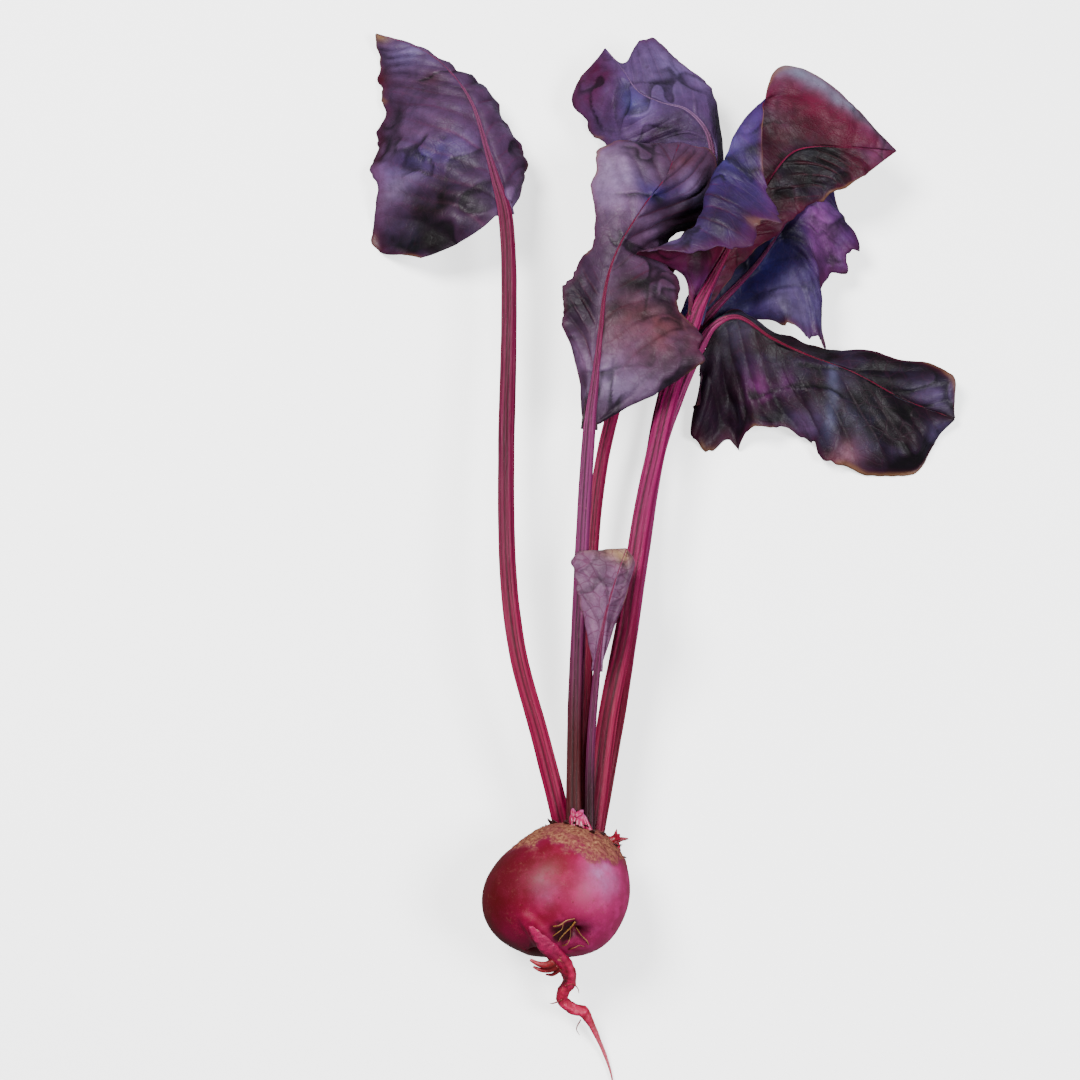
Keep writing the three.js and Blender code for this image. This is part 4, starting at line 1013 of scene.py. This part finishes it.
def makeStub():
    # Rings whose radius and reach swing as cos(4a), with two faster swings, into four ragged shreds
    # half-way up; their mark is 1 on the shreds.
    v = np.linspace(0, 1, stub["rows"])
    along, radius, shred = smoothLine(stub["rings"], v).T[..., None]
    a = wholeTurn(stub["sides"])
    point = shred * (np.cos(4 * a) + 0.25 * np.cos(7 * a + 1) + 0.2 * np.sin(11 * a))
    forward = unit(rootAxis * 0.5 + rootAcross * 0.8)
    side = unit(np.cross(forward, rootOver))
    over = np.cross(side, forward)
    r = radius * (1 + point)
    middles = crownPoint(*stub["foot"]) + forward * (along + stub["shredReach"] * point)[..., None]
    rings = middles + side * (r * np.cos(a))[..., None] + over * (r * np.sin(a))[..., None]
    rings = rings + stub["lumps"] * threeNoises(rings, 1.8, 60)
    torn = hill(v[:, None] - 0.5, 0.1) * (0.5 + 0.5 * np.cos(4 * a))
    return makeTube("stubTorn", rings, {"tip": tubeMark(torn, [0, 1])})


# Finishes
def rootFinish():
    # Deep crimson skin with clouds, pores and flecks, painted shade darkening its left side, painted light
    # making the right shoulder rosier, and two soft painted highlights; brown cork with cracks over the
    # crown; painted shade in the pit, with a near-black brown patch at its middle.
    f = Finish("rootSkinFinish")
    cork = f.mark("cork")
    mottle = f.remap(f.noise(160, 5, 0.65), 0.4, 0.7)
    pores = f.remap(f.cells(1500), 0.0, 0.28, 1.0, 0.0)
    grain = f.noise(620, 4, 0.7)
    patches = f.remap(f.noise(130), 0.4, 0.65)
    # painted highlight: a pale lilac veil over the skin at those patches
    highlightVeil = f.times(f.mark("paintedHighlight"), f.remap(f.noise(300, 4, 0.7), 0.2, 0.75, 0.55, 1.0))
    colour = f.over("#760430", f.remap(f.noise(38, 4), 0.35, 0.68), "#961650")
    colour = f.over(colour, f.times(mottle, 0.3), "#b83a66")
    # painted shade on the left side
    colour = f.over(colour, f.times(f.mark("paintedLeftShade"), 0.8), "#4c000c")
    # painted light on the right shoulder
    colour = f.over(colour, f.times(f.mark("paintedRightLight"), f.remap(mottle, 0, 1, 0.45, 0.8)), "#cc5c8c")
    colour = f.over(colour, f.times(pores, 0.22), "#d07a8c")
    colour = f.over(colour, f.times(f.remap(f.noise(420, 2), 0.66, 0.74), 0.5), "#5a0a1c")
    colour = f.over(colour, f.times(highlightVeil, 0.85), "#c99cc8")
    cracks = f.remap(f.cells(420, "DISTANCE_TO_EDGE"), 0.0, 0.06, 1.0, 0.0)
    bark = f.over("#64322e", f.remap(grain, 0.3, 0.7), "#c49478")
    bark = f.over(bark, f.times(patches, 0.65), "#84404e")
    bark = f.over(bark, f.times(cracks, 0.35), "#2c1413")
    ragged = f.maths("SUBTRACT", f.plus(grain, f.times(patches, 0.3)), 0.65)
    rim = f.remap(f.plus(cork, f.times(ragged, 1.3)), 0.1, 0.95, 0, 0.95)
    colour = f.over(colour, f.remap(cork, 0.0, 0.5, 0, 0.55), "#7c3450")
    colour = f.over(colour, rim, bark)
    # painted shade in the pit
    colour = f.over(colour, f.remap(f.mark("pit"), 0.35, 0.95, 0.0, 0.7), "#4a0a18")
    # near-black brown at the pit's middle
    colour = f.over(colour, f.remap(f.mark("pitMiddle"), 0.25, 0.7, 0.0, 0.9), "#22100c")
    rough = f.plus(f.times(rim, 0.38), f.remap(mottle, 0, 1, 0.44, 0.54))
    f.relief(f.plus(f.times(grain, f.plus(rim, 0.08)), f.times(pores, -0.12)), 0.0005, 0.65)
    return f.finish(Base_Color=colour, Roughness=rough, IOR=1.25, Specular_IOR_Level=0.5)


def tailFinish():
    # Crimson with painted shade in its wrinkles and a painted highlight on its crests, duller where it leaves
    # the root and pale at its thin end, with a few light scars.
    f = Finish("tailFinish")
    crest = f.mark("crest")
    # painted shade in the wrinkles, painted highlight on the crests
    colour = f.over("#9c063c", crest, "#dc246c")
    colour = f.over(colour, f.remap(f.noise(500, 4), 0.45, 0.7, 0, 0.4), "#d84474")
    colour = f.over(colour, f.remap(f.mark("bright"), 0, 1, 0.85, 0), "#a82860")
    colour = f.over(colour, f.times(f.mark("pale"), 0.65), "#d98a94")
    colour = f.over(colour, f.remap(f.noise(240), 0.66, 0.72, 0, 0.6), "#e0a088")
    f.relief(f.noise(900, 4, 0.6), 0.0005, 0.7)
    return f.finish(Base_Color=colour, Roughness=f.remap(crest, 0, 1, 0.55, 0.36))


def threadFinish(name, near, far):  # from one colour to another along the piece, with dark grains
    f = Finish(name)
    grain = f.noise(900)
    colour = f.over(near, f.mark("fade"), far)
    colour = f.over(colour, f.remap(grain, 0.4, 0.7, 0, 0.5), "#3a1410")
    f.relief(grain, 0.0003, 0.6)
    return f.finish(Base_Color=colour, Roughness=f.remap(grain, 0.3, 0.7, 0.45, 0.7))


def stalkFinish():
    # The leaf's own crimson, with painted shade in the grooves and the channel and a pale pink painted
    # highlight along the crests, with lengthwise fibres in the piece's own flat coordinates, pale specks and
    # scuffs, and a dark foot.
    f = Finish("stalkFinish")
    flat = f.flat()
    tone = f.mark("tone", "Color")
    fibres = f.noise(1, 4, 0.6, f.stretched(flat, (2600, 60, 1)))
    streaks = f.noise(1, where=f.stretched(flat, (700, 16, 1)))
    dark = f.over(tone, 0.8, "#1e020c")
    pale = f.over(f.doubled(tone), 0.25, "#e88cb8")
    level = f.plus(f.mark("ridge"), f.times(f.maths("SUBTRACT", streaks, 0.5), 0.9))
    # painted shade in the grooves, then a painted highlight along the crests
    colour = f.over(dark, f.remap(level, 0.02, 0.45), tone)
    colour = f.over(colour, f.remap(level, 0.94, 1.22, 0, 0.9), pale)
    colour = f.over(colour, f.remap(fibres, 0.35, 0.75, 0, 0.4), dark)
    # painted shade in the channel
    colour = f.over(colour, f.times(f.mark("channel"), 0.45), dark)
    colour = f.over(colour, f.remap(f.cells(620), 0.04, 0.12, 0.3, 0.0), "#d8a0a8")
    colour = f.over(colour, f.remap(f.noise(210, 4, 0.7), 0.7, 0.75, 0, 0.4), "#c98a8a")
    colour = f.over(colour, f.times(f.mark("foot"), 0.5), "#3a0a14")
    f.relief(f.plus(fibres, f.times(streaks, 0.7)), 0.0006, 0.6)
    rough = f.remap(fibres, 0.3, 0.75, 0.36, 0.52)
    return f.finish(Base_Color=colour, Roughness=rough, IOR=1.24, Specular_IOR_Level=0.5)


def leafFinish(name, netColour, netAmount):
    # The blade's own tone, clouded warm and cool, with a painted highlight where it stands up, a net of small
    # veins in the piece's flat coordinates, its larger veins, painted shade in its folds and hollows, specks
    # and stains, and a redder margin with dried spots.
    f = Finish(name, leafLight)
    flat = f.flat()
    bend = f.add("TexNoise", {"Vector": flat, "Scale": 130, "Detail": 2}).outputs["Color"]
    bend = f.add("VectorMath", {0: bend, "Scale": 0.004}, operation="SCALE").outputs[0]
    warped = f.add("VectorMath", {0: flat, 1: bend}, operation="ADD").outputs[0]
    net = f.remap(f.cells(170, "DISTANCE_TO_EDGE", warped), 0.0, 0.075, 1.0, 0.0)
    fineNet = f.remap(f.cells(560, "DISTANCE_TO_EDGE", warped), 0.0, 0.1, 1.0, 0.0)
    mottle = f.remap(f.noise(230, 4, 0.65), 0.35, 0.7)
    cool = f.remap(f.noise(44, 4, 0.6, f.stretched(f.place, (1, 1.3, 1))), 0.45, 0.7)
    colour = f.over(f.mark("tone", "Color"), f.times(f.remap(f.noise(26), 0.38, 0.64), 0.16), "#4c2434")
    colour = f.over(colour, f.times(cool, 0.16), f.over(colour, 0.5, "#6f6d9c"))
    pale = f.over(f.doubled(colour), 0.1, "#b8a6cb")
    # painted highlight where the blade stands up
    colour = f.over(colour, f.times(f.mark("ridge"), 0.7), pale)
    dark = f.over(colour, 0.9, "#080409")
    veinTone = f.over(colour, 0.5, f.mark("veinTone", "Color"))
    netMark = f.maths("MAXIMUM", net, f.times(fineNet, 0.4))
    colour = f.over(colour, f.times(netMark, netAmount), netColour)
    colour = f.over(colour, f.times(f.mark("veins"), 0.85), veinTone)
    # painted shade of folds and hollows
    colour = f.over(colour, f.times(f.mark("shade"), f.remap(mottle, 0, 1, 0.85, 1.0)), dark)
    colour = f.over(colour, f.times(mottle, 0.3), dark)
    colour = f.over(colour, f.remap(f.cells(480), 0.03, 0.09, 0.25, 0.0), pale)
    colour = f.over(colour, f.remap(f.noise(95, 4, 0.7), 0.66, 0.75, 0, 0.5), "#2e1a1c")
    colour = f.over(colour, f.times(f.mark("margin"), 0.35), "#5c1c3c")
    colour = f.over(colour, f.times(f.mark("dry"), 0.6), "#8a6a50")
    nets = f.plus(f.times(net, 0.3), f.times(fineNet, 0.18))
    f.relief(f.maths("SUBTRACT", f.times(mottle, 0.35), nets), 0.0004, 0.45)
    return f.finish(
        Base_Color=colour, Roughness=f.remap(f.plus(mottle, f.times(net, 0.5)), 0, 1.4, 0.42, 0.58),
        IOR=1.22, Specular_IOR_Level=0.5,
        Sheen_Weight=0.03, Sheen_Roughness=0.45, Sheen_Tint=(0.55, 0.58, 0.95, 1),
    )


def plainFinish(name, base, other, tipColour):
    # Two tones in clouds with fine streaks, and a third towards the tips.
    f = Finish(name)
    clouds = f.noise(330, 4, 0.65)
    colour = f.over(base, f.remap(clouds, 0.35, 0.68), other)
    colour = f.over(colour, f.times(f.mark("tip"), 0.8), tipColour)
    f.relief(f.noise(900, where=f.stretched(f.place, (1, 0.4, 1))), 0.0004, 0.6)
    return f.finish(Base_Color=colour, Roughness=f.remap(clouds, 0.3, 0.7, 0.3, 0.5))


# The root's pieces
dress(makeRoot(), rootFinish(), "root", "root")
dress(makeTail(), tailFinish(), "root")
dress(makePitHairs(), threadFinish("hairFinish", "#9a6a3c", "#c9a070"), "root")
dress(makeRootlets(), threadFinish("rootletFinish", "#86042c", "#b41c48"), "root")
dress(makeCrownScales(), threadFinish("scaleFinish", "#5a2a28", "#34161a"), "root")

# The leaves
stalkSkin = stalkFinish()
leafSkin = leafFinish("leafFinish", "#5c2244", 0.1)
youngSkin = leafFinish("youngLeafFinish", "#6a2a50", 0.55)
for name in leaves:
    bladeSkin, slotName = (youngSkin, "young_blade") if name == "young" else (leafSkin, "blade")
    dress(makeStalk(name), stalkSkin, "stalk", "stalk_" + name)
    dress(makeBlade(name), bladeSkin, slotName, "blade_" + name)
dress(makeBud(), plainFinish("budFinish", "#980c50", "#bc246c", "#d07cac"), "bud", "bud")
dress(makeStub(), plainFinish("stubFinish", "#740428", "#9c0c44", "#bc2c5c"), "stalk", "stub")

# Floor, lights and camera
studio = {
    "floorHalf": 12000, "floor": (0.93, 0.93, 0.94, 1), "floorClouds": (0.95, 0.95, 0.95, 1),
    "floorGlow": 1.6, "world": 0.25, "white": (1, 1, 1, 1), "lightSize": 0.7,
    # name, place, aim, power and colour of each
    "lights": [
        ("keyLight", (-0.7, 0.7, 1.5), (0, 0.15, 0), 62, (1, 0.99, 0.98)),
        ("topLight", (1.0, -0.15, 1.4), (0.02, 0.1, 0), 40, (0.96, 0.97, 1)),
    ],
    "aim": (-0.0078, 0.185, 0), "distance": 1.247, "elevation": 75, "lens": 80, "sensor": 36,
}


def makeFloor():
    # A square far wider than the view, at the level of the lowest points. It glows white, and other
    # pieces neither mirror it nor take light from it.
    x = np.array([-1, 1, 1, -1]) * float(studio["floorHalf"])
    y = np.array([-1, -1, 1, 1]) * float(studio["floorHalf"])
    floor = makeMesh("floor", np.stack([x, y, 0 * x], 1), np.array([[0, 1, 2, 3]]))
    f = Finish("floorFinish")
    colour = f.over(studio["floor"], f.remap(f.noise(3, 2), 0.3, 0.7), studio["floorClouds"])
    glow = {"Emission_Color": studio["white"], "Emission_Strength": studio["floorGlow"]}
    floor.data.materials.append(f.finish(Base_Color=colour, Roughness=0.9, **glow))
    floor.visible_diffuse = floor.visible_glossy = False


def placeInScene(name, data, place, direction):  # looking along the direction, with its own up upwards
    holder = bpy.data.objects.new(name, data)
    bpy.context.scene.collection.objects.link(holder)
    holder.location = place
    holder.rotation_mode = "QUATERNION"
    holder.rotation_quaternion = direction.to_track_quat("-Z", "Y")
    return holder


makeFloor()
for name, place, aim, power, colour in studio["lights"]:
    lamp = bpy.data.lights.new(name, "AREA")
    lamp.shape, lamp.size, lamp.energy, lamp.color = "DISK", studio["lightSize"], power, colour
    placeInScene(name, lamp, place, Vector(aim) - Vector(place))
world = bpy.data.worlds.new("studioWorld")
world.use_nodes = True
backdrop = world.node_tree.nodes["Background"]
backdrop.inputs[0].default_value = studio["white"]
backdrop.inputs[1].default_value = studio["world"]
bpy.context.scene.world = world

lens = bpy.data.cameras.new("camera")
lens.lens, lens.sensor_width = studio["lens"], studio["sensor"]
elevation = math.radians(studio["elevation"])
forwardView = Vector((0, math.cos(elevation), -math.sin(elevation)))
cameraPlace = Vector(studio["aim"]) - forwardView * studio["distance"]
bpy.context.scene.camera = placeInScene("camera", lens, cameraPlace, forwardView)
print("floor, lights and camera are set")
